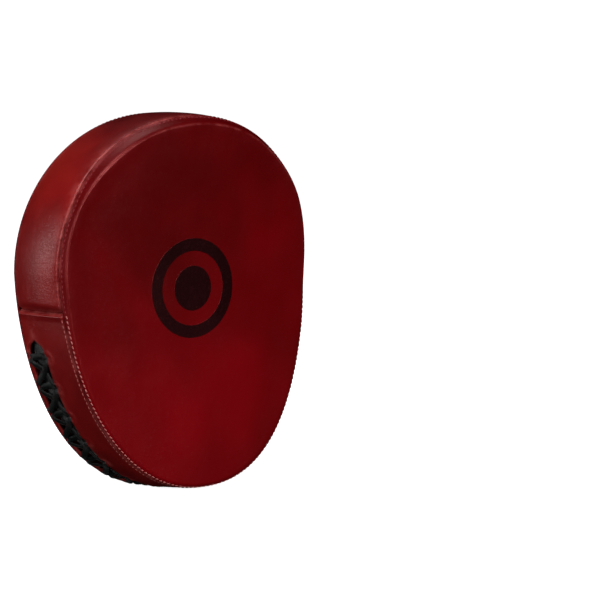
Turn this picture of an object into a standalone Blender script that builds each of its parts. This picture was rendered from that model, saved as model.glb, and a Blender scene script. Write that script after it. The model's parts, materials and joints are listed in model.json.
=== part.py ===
"""Right-hand focus mitt: a thick padded target worn on the hand and struck with the fist.

Sizes and places are in millimetres, and every finished mesh is scaled to metres.
The frame has +Z towards the fingertips, -Y out of the striking face and +Y on the hand side.
The origin lies on the back panel under the middle of the palm.
"""
import math
from collections import namedtuple

import bmesh
import bpy
from mathutils import Vector

MM = 0.001
GAP = 0.3                     # clearance between neighbouring pieces
SEWN_GAP = 0.6                # clearance where two folded edges face each other

# Pad outline: two superellipse halves that meet on the widest line.
HALF_WIDTH = 102.5
PAD_TOP = 155.0
PAD_BOTTOM = -95.0
WIDEST_Z = 55.0
UPPER_POWER = 2.1
LOWER_POWER = 2.15
FACE_Y = -54.0                # front of the striking face
LEATHER = 1.8

# The face rolls over its edge to a seam that lies deeper round the finger end.
FACE_LEATHER = 2.0
SEAM_DEPTH_UPPER = 6.5
SEAM_DEPTH_LOWER = 2.5
ROLL_UPPER = 7.0
ROLL_LOWER = 4.0
SEAM_CHANGE_Z = (0.0, 60.0)
ROLL_STEPS = 3

# Side wall, in two lengths that meet at the side seam.
SIDE_SEAM_Z = 31.0
UPPER_BULGE = 3.0
LOWER_BULGE = 1.0
PADDING_THICK = 6.0
PADDING_GAP = 2.0             # the padding's tilted rims stay this far from the face and the back
PADDING_END_GAP = 8.0         # the padding ends this far apart across each side seam
LOWER_STATIONS = 32
UPPER_STATIONS = 26
ARC_SAMPLES = 400

# Laced slot round the wrist end of the side wall.
SLOT_Y = -15.0
SLOT_HALF = 7.0
SLOT_START = 20.0             # from the side seam to the slot's narrow end
SLOT_TAPER = 36.0
SLOT_END_SHARE = 0.25
LACE_RADIUS = 1.7
LACE_INSET = 4.1
LACE_SWING = 9.0
LACE_PITCH = 22.0
LACE_STEP = 4.6
TONGUE_INSET = 6.9
TONGUE_THICK = 1.4
TONGUE_HALF = 12.0

# Layers of the pad, from the face to the hand side: name, thickness and inset.
FOAM_INSET = 8.6
FACE_FOAM_INSET = 9.6
FOAM_LAYERS = (
    ("face_foam", 10.0, FACE_FOAM_INSET),
    ("core_foam", 24.0, FOAM_INSET),
    ("firm_sheet", 3.0, FOAM_INSET),
    ("back_foam", 11.7, FOAM_INSET),
)

# Finger hood.
HOOD_HALF_WIDTH = 56.0
HOOD_HEIGHT = 36.0
HOOD_POWER = 2.5
HOOD_MOUTH_Z = 30.0
HOOD_DOME_Z = 85.0
HOOD_DOME_LENGTH = 43.0
HOOD_FLANGE = 7.0
HOOD_FOAM = 5.0
LINING = 1.0
BINDING_LENGTH = 3.0
HOOD_BINDING_THICK = 9.0
SEWN_Y = 1.2                  # middle of a sewn flange lying on the back panel
FOOT_Y = 0.5

# Thumb sleeve, slanted over the thumb side of the palm.
THUMB_CENTRE = (66.0, -3.0)
THUMB_LEAN = math.radians(30.0)
THUMB_HALF_LENGTH = 15.0
THUMB_HALF_WIDTH = 16.0
THUMB_HEIGHT = 27.0
THUMB_POWER = 2.2
THUMB_FLANGE = 4.5
THUMB_BINDING_LENGTH = 2.4
THUMB_BINDING_THICK = 4.0

# Palm patch, finger bed and grip ball.
PALM_X = (-44.0, 36.0)
PALM_Z = (-78.0, 24.0)
BED_HALF_WIDTH = 46.0
BED_START_Z = 31.0
BED_DOME_LENGTH = 33.0
PATCH_Y = (0.3, 1.3)
PATCH_CORNER = 10.0
BALL_CENTRE = (-3.0, -4.0)
BALL_HALF_WIDTH = 27.0
BALL_HALF_LENGTH = 18.0
BALL_HEIGHT = 16.0
BALL_FLANGE = 4.0
BALL_LEATHER = 1.4

# Wrist closure: layers of one arch, measured inwards from the outside of the strap.
WRIST_HALF_WIDTH = 50.0
WRIST_HEIGHT = 37.3
WRIST_POWER = 2.3
WRIST_Z = (-66.0, -30.0)
STRAP_THICK = 3.0
PATCH_THICK = 1.2
FLAP_THICK = 3.0
HOOK_INSET = STRAP_THICK + GAP
LOOP_INSET = HOOK_INSET + PATCH_THICK + GAP
FLAP_INSET = LOOP_INSET + PATCH_THICK + GAP
STRAP_FOOT_Y = 2.6
PEEL_ANGLE = 110.0
PEEL_GAP_ANGLE = 0.8
STRAP_TIP_ANGLE = 30.0
FLAP_END_ANGLE = 116.0
HOOK_ANGLES = (44.0, 86.0)
LOOP_ANGLES = (38.0, 108.0)
PATCH_MARGIN = 4.0
TAB_ANGLES = (17.0, 29.0)
TAB_MARGIN = 8.0
TAB_THICK = 2.0
ROOT_WIDTH = 13.0
ROOT_Y = (0.3, 2.1)
HINGE_Y = 2.3

Finish = namedtuple("Finish", "colour roughness metallic")
RED_LEATHER = Finish((0.20, 0.004, 0.008), 0.42, 0.0)
DARK_RED_LEATHER = Finish((0.13, 0.004, 0.007), 0.45, 0.0)
BLACK_LEATHER = Finish((0.012, 0.012, 0.013), 0.5, 0.0)
BLACK_FABRIC = Finish((0.02, 0.02, 0.022), 0.85, 0.0)
WHITE_FOAM = Finish((0.6, 0.58, 0.52), 0.9, 0.0)
GREY_BOARD = Finish((0.25, 0.25, 0.26), 0.8, 0.0)

Arch = namedtuple("Arch", "centre lean half_width height power")
HOOD = Arch((0.0, 0.0), 0.0, HOOD_HALF_WIDTH, HOOD_HEIGHT, HOOD_POWER)
THUMB = Arch(THUMB_CENTRE, THUMB_LEAN, THUMB_HALF_WIDTH, THUMB_HEIGHT, THUMB_POWER)
WRIST = Arch((0.0, 0.0), 0.0, WRIST_HALF_WIDTH, WRIST_HEIGHT, WRIST_POWER)


# ---------------------------------------------------------------- scene helpers

def clear_scene():
    """Remove every object that the file opened with."""
    for old in list(bpy.data.objects):
        bpy.data.objects.remove(old, do_unlink=True)


def make_material(name, finish):
    """Principled material in the finish of one sub-part."""
    material = bpy.data.materials.new(name)
    material.use_nodes = True
    shader = material.node_tree.nodes["Principled BSDF"]
    shader.inputs["Base Color"].default_value = (*finish.colour, 1.0)
    shader.inputs["Roughness"].default_value = finish.roughness
    shader.inputs["Metallic"].default_value = finish.metallic
    material.diffuse_color = (*finish.colour, 1.0)
    return material


def place(name, bm, finish, origin=(0.0, 0.0, 0.0), thickness=0.0):
    """Turn a mesh in millimetres into a named object whose origin is the given point."""
    bmesh.ops.recalc_face_normals(bm, faces=bm.faces)
    bmesh.ops.translate(bm, vec=-Vector(origin), verts=bm.verts)
    bmesh.ops.scale(bm, vec=(MM, MM, MM), verts=bm.verts)
    mesh = bpy.data.meshes.new(name)
    bm.to_mesh(mesh)
    bm.free()
    mesh.shade_smooth()
    mesh.set_sharp_from_angle(angle=math.radians(40.0))
    mesh.materials.append(make_material(name, finish))
    obj = bpy.data.objects.new(name, mesh)
    obj.location = Vector(origin) * MM
    bpy.context.scene.collection.objects.link(obj)
    if thickness:
        wall = obj.modifiers.new("wall", "SOLIDIFY")
        wall.thickness = thickness * MM
        wall.offset = 0.0
        wall.use_even_offset = True
    return obj


# ---------------------------------------------------------------- outlines and sheets

def superellipse(angle, half_width, height, power, inset=0.0):
    """Point of a superellipse at an angle, moved inwards along its normal."""
    across = abs(math.cos(angle)) ** (2.0 / power)
    up = abs(math.sin(angle)) ** (2.0 / power)
    normal = Vector((across ** (power - 1.0) / half_width, up ** (power - 1.0) / height)).normalized()
    x = math.copysign(across * half_width - inset * normal.x, math.cos(angle))
    y = math.copysign(up * height - inset * normal.y, math.sin(angle))
    return x, y


def pad_outline(angle, inset=0.0):
    """Point (x, z) of the pad's egg outline."""
    if math.sin(angle) >= 0.0:
        x, z = superellipse(angle, HALF_WIDTH, PAD_TOP - WIDEST_Z, UPPER_POWER, inset)
    else:
        x, z = superellipse(angle, HALF_WIDTH, WIDEST_Z - PAD_BOTTOM, LOWER_POWER, inset)
    return x, z + WIDEST_Z


def side_seam_angle():
    """Angle below the widest line at which the outline crosses the side seam."""
    share = (WIDEST_Z - SIDE_SEAM_Z) / (WIDEST_Z - PAD_BOTTOM)
    return math.asin(share ** (LOWER_POWER / 2.0))


def walk_outline(start, stop):
    """Angles from start to stop with the length walked along the outline at each."""
    angles = [start + (stop - start) * i / ARC_SAMPLES for i in range(ARC_SAMPLES + 1)]
    walked = [0.0]
    for one, two in zip(angles, angles[1:]):
        (ax, az), (bx, bz) = pad_outline(one), pad_outline(two)
        walked.append(walked[-1] + math.hypot(bx - ax, bz - az))
    return angles, walked


def angle_at(track, distance):
    """Angle on a walked track at a distance from its start."""
    angles, walked = track
    for i in range(1, len(walked)):
        if walked[i] >= distance:
            share = (distance - walked[i - 1]) / (walked[i] - walked[i - 1])
            return angles[i - 1] + share * (angles[i] - angles[i - 1])
    return angles[-1]


def even_angles(track, count):
    """Angles that split a walked track into equal lengths."""
    return [angle_at(track, track[1][-1] * i / count) for i in range(count + 1)]


SEAM_ANGLE = side_seam_angle()
LOWER_TRACK = walk_outline(math.pi + SEAM_ANGLE, 2.0 * math.pi - SEAM_ANGLE)
UPPER_TRACK = walk_outline(-SEAM_ANGLE, math.pi + SEAM_ANGLE)
LOWER_ANGLES = even_angles(LOWER_TRACK, LOWER_STATIONS)
UPPER_ANGLES = even_angles(UPPER_TRACK, UPPER_STATIONS)
RING_ANGLES = LOWER_ANGLES + UPPER_ANGLES[1:-1]


def blend_up(z, lower, upper):
    """Value that eases from the wrist end's to the finger end's."""
    share = (z - SEAM_CHANGE_Z[0]) / (SEAM_CHANGE_Z[1] - SEAM_CHANGE_Z[0])
    share = min(max(share, 0.0), 1.0)
    return lower + (upper - lower) * share * share * (3.0 - 2.0 * share)


def seam_y(z):
    """Depth of the seam between the face and the side wall at a height."""
    return FACE_Y + blend_up(z, SEAM_DEPTH_LOWER, SEAM_DEPTH_UPPER)


def sheet_mesh(grid):
    """Open sheet through rows of points, with points that meet merged."""
    bm = bmesh.new()
    rows = [[bm.verts.new(point) for point in row] for row in grid]
    for row, after in zip(rows, rows[1:]):
        for i in range(len(row) - 1):
            bm.faces.new((row[i], row[i + 1], after[i + 1], after[i]))
    bmesh.ops.remove_doubles(bm, verts=bm.verts, dist=0.01)
    return bm


def stacked_mesh(rings):
    """Closed solid through a stack of matching rings, with a flat cap at each end."""
    bm = bmesh.new()
    loops = [[bm.verts.new(point) for point in ring] for ring in rings]
    for loop, after in zip(loops, loops[1:]):
        for i in range(len(loop)):
            j = (i + 1) % len(loop)
            bm.faces.new((loop[i], loop[j], after[j], after[i]))
    bm.faces.new(loops[0])
    bm.faces.new(reversed(loops[-1]))
    return bm


def plate_mesh(outline, low_y, high_y):
    """Flat plate with an outline of (x, z) points."""
    return stacked_mesh([[(x, y, z) for x, z in outline] for y in (low_y, high_y)])


def rounded_rectangle(x_range, z_range, radius, steps=3):
    """Outline of a rectangle with rounded corners."""
    points = []
    corners = ((1, 1, 0), (0, 1, 90), (0, 0, 180), (1, 0, 270))
    for right, top, start in corners:
        x = x_range[right] + (-radius if right else radius)
        z = z_range[top] + (-radius if top else radius)
        for i in range(steps + 1):
            turn = math.radians(start + 90.0 * i / steps)
            points.append((x + radius * math.cos(turn), z + radius * math.sin(turn)))
    return points


# ---------------------------------------------------------------- striking pad

def face_ring(share, outer):
    """Ring of the face shell: share 0 is the flat's edge and 1 the seam."""
    ring = []
    turn = 0.5 * math.pi * share
    for angle in RING_ANGLES:
        z = pad_outline(angle)[1]
        roll = blend_up(z, ROLL_LOWER, ROLL_UPPER)
        reach = roll if outer else roll - LEATHER
        front = FACE_Y if outer else FACE_Y + FACE_LEATHER
        drop = seam_y(z) - front
        inset = roll - reach * math.sin(turn)
        x, z = pad_outline(angle, inset)
        ring.append((x, front + drop * (1.0 - math.cos(turn)), z))
    return ring


def make_face_panel():
    """Flat striking face with its rolled edge, open behind."""
    outer = [face_ring(i / ROLL_STEPS, True) for i in range(ROLL_STEPS + 1)]
    inner = [face_ring(i / ROLL_STEPS, False) for i in reversed(range(ROLL_STEPS + 1))]
    place("face_panel", stacked_mesh(outer + inner), RED_LEATHER)


def wall_point(angle, y, inset):
    """Point of the side wall at an outline angle and a depth."""
    x, z = pad_outline(angle, inset)
    return x, y, z


def upper_band(inset, gap, end_gap, steps=4):
    """Grid of the upper side wall, which bulges between its two seams."""
    grid = []
    for angle in trimmed(UPPER_ANGLES, end_gap):
        front = seam_y(pad_outline(angle)[1]) + gap
        back = -LEATHER - gap
        row = []
        for i in range(steps + 1):
            share = i / steps
            bulge = UPPER_BULGE * 4.0 * share * (1.0 - share)
            row.append(wall_point(angle, front + (back - front) * share, inset - bulge))
        grid.append(row)
    return grid


def trimmed(angles, gap):
    """The same angles with both ends drawn in to leave the side seam a gap."""
    cut = 0.5 * gap / HALF_WIDTH
    return [angles[0] + cut, *angles[1:-1], angles[-1] - cut]


def make_upper_gusset():
    """Padded side wall over the finger end, with its own padding behind the leather."""
    place("upper_gusset", sheet_mesh(upper_band(0.5 * LEATHER, SEWN_GAP, SEWN_GAP)), RED_LEATHER, thickness=LEATHER)
    behind = LEATHER + GAP + 0.5 * PADDING_THICK
    padding = sheet_mesh(upper_band(behind, PADDING_GAP, PADDING_END_GAP))
    place("gusset_padding", padding, WHITE_FOAM, thickness=PADDING_THICK)


def slot_half(distance):
    """Half width of the laced slot at a distance from the nearer side seam."""
    share = min(max((distance - SLOT_START) / SLOT_TAPER, 0.0), 1.0)
    return SLOT_HALF * (SLOT_END_SHARE + (1.0 - SLOT_END_SHARE) * share)


def make_lower_gusset():
    """Side wall round the wrist end, cut through by the long laced slot."""
    length = LOWER_TRACK[1][-1]
    step = length / LOWER_STATIONS
    bm = bmesh.new()
    rows = []
    for i, angle in enumerate(trimmed(LOWER_ANGLES, SEWN_GAP)):
        distance = min(i, LOWER_STATIONS - i) * step
        half = slot_half(distance)
        front = seam_y(pad_outline(angle)[1]) + SEWN_GAP
        depths = (front, 0.5 * (front + SLOT_Y - half), SLOT_Y - half, SLOT_Y + half, -LEATHER - SEWN_GAP)
        bulges = (0.0, LOWER_BULGE, LOWER_BULGE, LOWER_BULGE, 0.0)
        points = [wall_point(angle, y, 0.5 * LEATHER - b) for y, b in zip(depths, bulges)]
        rows.append([bm.verts.new(point) for point in points])
    slot_cell = 2
    for i, (row, after) in enumerate(zip(rows, rows[1:])):
        from_seam = min(i, LOWER_STATIONS - 1 - i) * step
        for j in range(len(row) - 1):
            if j == slot_cell and from_seam >= SLOT_START:
                continue
            bm.faces.new((row[j], row[j + 1], after[j + 1], after[j]))
    place("lower_gusset", bm, DARK_RED_LEATHER, thickness=LEATHER)


def make_back_panel():
    """Flat leather back that carries everything on the hand side."""
    outline = [pad_outline(angle) for angle in RING_ANGLES]
    place("back_panel", plate_mesh(outline, -LEATHER, 0.0), RED_LEATHER)


def make_foam_layers():
    """Foam block in four layers, one of them a firm sheet that spreads the blow."""
    y = FACE_Y + FACE_LEATHER + GAP
    for name, thickness, inset in FOAM_LAYERS:
        outline = [pad_outline(angle, inset) for angle in RING_ANGLES]
        finish = GREY_BOARD if name == "firm_sheet" else WHITE_FOAM
        place(name, plate_mesh(outline, y, y + thickness), finish)
        y += thickness + GAP


def make_lace_tongue():
    """Fabric strip that closes the slot behind the lace."""
    grid = []
    for angle in LOWER_ANGLES[1:-1]:
        ends = (SLOT_Y - TONGUE_HALF, SLOT_Y + TONGUE_HALF)
        grid.append([wall_point(angle, y, TONGUE_INSET) for y in ends])
    place("lace_tongue", sheet_mesh(grid), BLACK_FABRIC, thickness=TONGUE_THICK)


def make_side_lace():
    """Round lace that swings from edge to edge of the slot all the way round the wrist end."""
    start = SLOT_START + 4.0
    length = LOWER_TRACK[1][-1] - 2.0 * start
    swings = round(length / LACE_PITCH)
    count = int(length / LACE_STEP)
    curve = bpy.data.curves.new("side_lace", "CURVE")
    curve.dimensions = "3D"
    curve.bevel_depth = LACE_RADIUS * MM
    curve.bevel_resolution = 1
    curve.use_fill_caps = True
    spline = curve.splines.new("POLY")
    spline.points.add(count)
    for i in range(count + 1):
        share = i / count
        angle = angle_at(LOWER_TRACK, start + length * share)
        taper = min(1.0, 0.35 + 4.0 * min(share, 1.0 - share))
        y = SLOT_Y + LACE_SWING * taper * math.cos(math.pi * swings * share)
        point = Vector(wall_point(angle, y, LACE_INSET)) * MM
        spline.points[i].co = (*point, 1.0)
    curve.materials.append(make_material("side_lace", BLACK_FABRIC))
    bpy.context.scene.collection.objects.link(bpy.data.objects.new("side_lace", curve))


# ---------------------------------------------------------------- arches on the hand side

def arch_profile(arch, inset, angles, steps, foot_y, flange=0.0):
    """Points (across, up) over an arch between two angles in degrees, with its feet or flanges."""
    first, last = angles
    points = []
    for i in range(steps + 1):
        turn = math.radians(first + (last - first) * i / steps)
        points.append(superellipse(turn, arch.half_width, arch.height, arch.power, inset))
    side = arch.half_width - inset
    if first < 10.0:
        points.insert(0, (side, foot_y))
        if flange:
            points.insert(0, (arch.half_width + flange, foot_y))
    if last > 170.0:
        points.append((-side, foot_y))
        if flange:
            points.append((-arch.half_width - flange, foot_y))
    return points


def arch_band(arch, inset, along, angles=(9.0, 171.0), steps=12, foot_y=FOOT_Y, flange=0.0, rows=1):
    """Sheet over an arch, between two distances along its length."""
    right = Vector((math.cos(arch.lean), 0.0, -math.sin(arch.lean)))
    ahead = Vector((math.sin(arch.lean), 0.0, math.cos(arch.lean)))
    centre = Vector((arch.centre[0], 0.0, arch.centre[1]))
    profile = arch_profile(arch, inset, angles, steps, foot_y, flange)
    grid = []
    for i in range(rows + 1):
        distance = along[0] + (along[1] - along[0]) * i / rows
        start = centre + ahead * distance
        grid.append([start + right * u + Vector((0.0, v, 0.0)) for u, v in profile])
    return sheet_mesh(grid)


def hood_sheet(inset, foot_y, flange=0.0, arch_steps=7, dome_steps=12):
    """Sheet over the fingers: an arch with straight sides that closes in a dome."""
    profile = arch_profile(HOOD, inset, (9.0, 90.0), arch_steps, foot_y, flange)
    side = HOOD_HALF_WIDTH - inset
    dome = HOOD_DOME_LENGTH - inset
    grid = []
    for z in (HOOD_MOUTH_Z, 0.5 * (HOOD_MOUTH_Z + HOOD_DOME_Z)):
        grid.append([(r, y, z) for r, y in profile])
    for i in range(dome_steps + 1):
        turn = math.pi * i / dome_steps
        row = []
        for r, y in profile:
            reach = r * dome / side if r <= side else dome + r - side
            row.append((r * math.cos(turn), y, HOOD_DOME_Z + reach * math.sin(turn)))
        grid.append(row)
    for z in (0.5 * (HOOD_MOUTH_Z + HOOD_DOME_Z), HOOD_MOUTH_Z):
        grid.append([(-r, y, z) for r, y in profile])
    return sheet_mesh(grid)


def make_hood():
    """Finger hood in three layers with a bound mouth."""
    place("hood_cover", hood_sheet(0.5 * LEATHER, SEWN_Y, HOOD_FLANGE), RED_LEATHER, thickness=LEATHER)
    foam_inset = LEATHER + GAP + 0.5 * HOOD_FOAM
    place("hood_foam", hood_sheet(foam_inset, FOOT_Y), WHITE_FOAM, thickness=HOOD_FOAM)
    lining_inset = LEATHER + HOOD_FOAM + 2.0 * GAP + 0.5 * LINING
    place("hood_lining", hood_sheet(lining_inset, FOOT_Y), BLACK_FABRIC, thickness=LINING)
    along = (HOOD_MOUTH_Z - GAP - BINDING_LENGTH, HOOD_MOUTH_Z - GAP)
    binding = arch_band(HOOD, 0.5 * HOOD_BINDING_THICK - GAP, along)
    place("hood_binding", binding, BLACK_LEATHER, thickness=HOOD_BINDING_THICK)


def make_thumb_sleeve():
    """Slanted half tunnel that holds the thumb, lined and bound at both ends."""
    end = THUMB_HALF_LENGTH
    cover = arch_band(THUMB, 0.5 * LEATHER, (-end, end), foot_y=SEWN_Y, flange=THUMB_FLANGE)
    place("thumb_sleeve", cover, RED_LEATHER, thickness=LEATHER)
    lining = arch_band(THUMB, LEATHER + GAP + 0.5 * LINING, (-end, end))
    place("thumb_lining", lining, BLACK_FABRIC, thickness=LINING)
    for name, side in (("thumb_binding_lower", -1.0), ("thumb_binding_upper", 1.0)):
        along = (side * (end + GAP), side * (end + GAP + THUMB_BINDING_LENGTH))
        binding = arch_band(THUMB, 0.5 * THUMB_BINDING_THICK - GAP, along)
        place(name, binding, BLACK_LEATHER, thickness=THUMB_BINDING_THICK)


def make_palm():
    """Palm patch and the bed under the fingers."""
    patch = rounded_rectangle(PALM_X, PALM_Z, PATCH_CORNER)
    place("palm_patch", plate_mesh(patch, *PATCH_Y), BLACK_LEATHER)
    bed = [(BED_HALF_WIDTH, BED_START_Z)]
    steps = 14
    for i in range(steps + 1):
        turn = math.pi * i / steps
        bed.append((BED_HALF_WIDTH * math.cos(turn), HOOD_DOME_Z + BED_DOME_LENGTH * math.sin(turn)))
    bed.append((-BED_HALF_WIDTH, BED_START_Z))
    place("finger_bed", plate_mesh(bed, *PATCH_Y), BLACK_FABRIC)


def ball_rings(shrink, base_y, rings=5, count=24):
    """Rings of the bean-shaped grip ball, from its base to its crown."""
    centre_x, centre_z = BALL_CENTRE
    stack = []
    for i in range(rings):
        rise = 0.5 * math.pi * i / rings
        ring = []
        for k in range(count):
            turn = 2.0 * math.pi * k / count
            x = (BALL_HALF_WIDTH - shrink) * math.cos(turn) * math.cos(rise)
            z = (BALL_HALF_LENGTH - shrink) * math.sin(turn) * math.cos(rise)
            ring.append((centre_x + x, base_y + (BALL_HEIGHT - shrink) * math.sin(rise), centre_z + z))
        stack.append(ring)
    return stack


def make_grip_ball():
    """Grip ball under the palm: a leather dome sewn down round a foam core."""
    base_y = PATCH_Y[1] + GAP
    crown = ball_rings(BALL_LEATHER + GAP, base_y)
    place("palm_ball_core", stacked_mesh(crown), WHITE_FOAM)
    rings = ball_rings(0.5 * BALL_LEATHER, base_y + 0.5 * BALL_LEATHER)
    centre_x, centre_z = BALL_CENTRE
    widen = 1.0 + BALL_FLANGE / BALL_HALF_WIDTH
    flange = [(centre_x + (x - centre_x) * widen, y, centre_z + (z - centre_z) * widen) for x, y, z in rings[0]]
    bm = bmesh.new()
    loops = [[bm.verts.new(point) for point in ring] for ring in [flange, *rings]]
    for loop, after in zip(loops, loops[1:]):
        for i in range(len(loop)):
            j = (i + 1) % len(loop)
            bm.faces.new((loop[i], loop[j], after[j], after[i]))
    bm.faces.new(loops[-1])
    place("palm_ball_cover", bm, RED_LEATHER, thickness=BALL_LEATHER)


# ---------------------------------------------------------------- wrist closure

def hinge_point(angle_degrees, inset):
    """Joint axis on the outer surface of a wrist layer, at the middle of its width."""
    angle = math.radians(angle_degrees)
    x, y = superellipse(angle, WRIST_HALF_WIDTH, WRIST_HEIGHT, WRIST_POWER, inset)
    return x, max(y, HINGE_Y), 0.5 * (WRIST_Z[0] + WRIST_Z[1])


def wrist_layer(name, inset, thickness, angles, finish, origin, margin=0.0, steps=10):
    """One layer of the wrist arch, hinged at the given origin."""
    along = (WRIST_Z[0] + margin, WRIST_Z[1] - margin)
    band = arch_band(WRIST, inset + 0.5 * thickness, along, angles, steps, STRAP_FOOT_Y)
    place(name, band, finish, origin, thickness)


def make_root(name, edge_x, side):
    """Sewn end of the strap or the flap, flat on the back panel."""
    inner = edge_x - side * 3.0
    x_range = sorted((inner, inner + side * ROOT_WIDTH))
    outline = rounded_rectangle(x_range, WRIST_Z, 2.0, 2)
    place(name, plate_mesh(outline, *ROOT_Y), RED_LEATHER)


def make_wrist_closure():
    """Strap that wraps over the inner flap and holds on it by hook and loop."""
    strap_axis = hinge_point(180.0, 0.0)
    peel_axis = hinge_point(PEEL_ANGLE, 0.0)
    flap_axis = hinge_point(0.0, FLAP_INSET)
    band_angles = (PEEL_ANGLE + PEEL_GAP_ANGLE, 172.0)
    end_angles = (STRAP_TIP_ANGLE, PEEL_ANGLE - PEEL_GAP_ANGLE)
    flap_angles = (8.0, FLAP_END_ANGLE)
    tab_inset = 0.5 * (STRAP_THICK - TAB_THICK)
    make_root("strap_root", strap_axis[0], -1.0)
    make_root("flap_root", flap_axis[0], 1.0)
    wrist_layer("strap_band", 0.0, STRAP_THICK, band_angles, RED_LEATHER, strap_axis, steps=7)
    wrist_layer("strap_end", 0.0, STRAP_THICK, end_angles, RED_LEATHER, peel_axis)
    wrist_layer("pull_tab", tab_inset, TAB_THICK, TAB_ANGLES, BLACK_LEATHER, peel_axis, TAB_MARGIN, 3)
    wrist_layer("hook_patch", HOOK_INSET, PATCH_THICK, HOOK_ANGLES, BLACK_FABRIC, peel_axis, PATCH_MARGIN)
    wrist_layer("loop_patch", LOOP_INSET, PATCH_THICK, LOOP_ANGLES, BLACK_FABRIC, flap_axis, PATCH_MARGIN)
    wrist_layer("inner_flap", FLAP_INSET, FLAP_THICK, flap_angles, RED_LEATHER, flap_axis, steps=14)


def main():
    """Build the whole mitt."""
    clear_scene()
    make_face_panel()
    make_upper_gusset()
    make_lower_gusset()
    make_back_panel()
    make_foam_layers()
    make_lace_tongue()
    make_side_lace()
    make_hood()
    make_thumb_sleeve()
    make_palm()
    make_grip_ball()
    make_wrist_closure()


main()
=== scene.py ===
"""Looks of a right-hand focus mitt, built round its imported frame.

Sizes are in millimetres and every finished mesh is scaled to metres.
The frame has +Z towards the fingertips, -Y out of the striking face and +Y on the hand side.
"""
from __future__ import annotations

import json
import logging
import math
from dataclasses import dataclass
from enum import Enum
from typing import Callable, Iterable, Sequence

import bmesh
import bpy
from bmesh.types import BMEdge, BMesh, BMLayerItem, BMVert
from bpy.types import ID, Material, Node, NodeOutputs, NodeSocket, NodeTree, Object
from mathutils import Matrix, Vector, kdtree, noise

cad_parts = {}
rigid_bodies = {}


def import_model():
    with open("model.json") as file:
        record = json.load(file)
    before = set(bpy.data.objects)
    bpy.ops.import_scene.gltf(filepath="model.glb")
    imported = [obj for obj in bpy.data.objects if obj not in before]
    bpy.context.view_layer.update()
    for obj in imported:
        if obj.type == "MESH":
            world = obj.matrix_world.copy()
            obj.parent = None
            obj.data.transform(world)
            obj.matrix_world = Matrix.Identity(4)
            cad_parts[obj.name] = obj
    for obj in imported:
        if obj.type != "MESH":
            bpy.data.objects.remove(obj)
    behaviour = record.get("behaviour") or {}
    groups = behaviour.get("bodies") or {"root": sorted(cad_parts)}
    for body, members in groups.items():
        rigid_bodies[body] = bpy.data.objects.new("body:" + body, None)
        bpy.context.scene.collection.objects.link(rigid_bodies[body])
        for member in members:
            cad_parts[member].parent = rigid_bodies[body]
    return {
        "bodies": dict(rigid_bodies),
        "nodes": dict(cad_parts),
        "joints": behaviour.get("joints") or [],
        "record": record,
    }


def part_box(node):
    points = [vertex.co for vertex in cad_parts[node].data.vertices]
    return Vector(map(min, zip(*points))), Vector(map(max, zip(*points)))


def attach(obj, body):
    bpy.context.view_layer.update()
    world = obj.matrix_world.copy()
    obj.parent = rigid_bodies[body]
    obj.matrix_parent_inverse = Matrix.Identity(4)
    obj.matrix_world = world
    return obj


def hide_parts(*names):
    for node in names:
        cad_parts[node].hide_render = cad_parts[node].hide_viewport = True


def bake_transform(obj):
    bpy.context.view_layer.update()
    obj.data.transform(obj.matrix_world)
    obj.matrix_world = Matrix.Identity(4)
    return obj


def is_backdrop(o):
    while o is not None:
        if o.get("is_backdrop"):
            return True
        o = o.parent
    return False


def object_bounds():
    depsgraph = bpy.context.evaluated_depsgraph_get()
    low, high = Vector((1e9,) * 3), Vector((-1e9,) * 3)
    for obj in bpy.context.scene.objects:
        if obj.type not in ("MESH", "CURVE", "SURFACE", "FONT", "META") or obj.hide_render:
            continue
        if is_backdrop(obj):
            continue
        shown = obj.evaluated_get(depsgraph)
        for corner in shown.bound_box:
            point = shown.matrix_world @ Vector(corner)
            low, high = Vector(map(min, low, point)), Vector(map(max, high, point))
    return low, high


MM = 0.001
QUARTER = 0.5 * math.pi
HALF = math.pi
FULL = 2.0 * math.pi
HANDWARD = Vector((0.0, 1.0, 0.0))
UPWARD = Vector((0.0, 0.0, 1.0))
SHARP_ANGLE = math.radians(50.0)
DOME_Z = 85.0                  # where the hood and the finger bed start to round off
EDGE = "edge"                  # name of the pale edge mask painted on a mesh's points: wear, and in places painted highlight
log = logging.getLogger("mitt")

Tone = tuple[float, float, float]
Path = list[tuple[Vector, Vector]]


def tone(red: int, green: int, blue: int) -> Tone:
    """Linear colour of a display colour given as three values up to 255."""

    def linear(value: int) -> float:
        """Linear share of one display value."""
        share = value / 255.0
        return share / 12.92 if share <= 0.04045 else ((share + 0.055) / 1.055) ** 2.4

    return linear(red), linear(green), linear(blue)


def ease(value: float, low: float, high: float) -> float:
    """Share from 0 to 1 that eases in and out between two limits."""
    share = min(max((value - low) / (high - low), 0.0), 1.0)
    return share * share * (3.0 - 2.0 * share)


def bell(value: float, width: float) -> float:
    """Share that falls off smoothly on both sides of zero."""
    return math.exp(-(value / width) ** 2)


# ---- shader node groups

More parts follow.
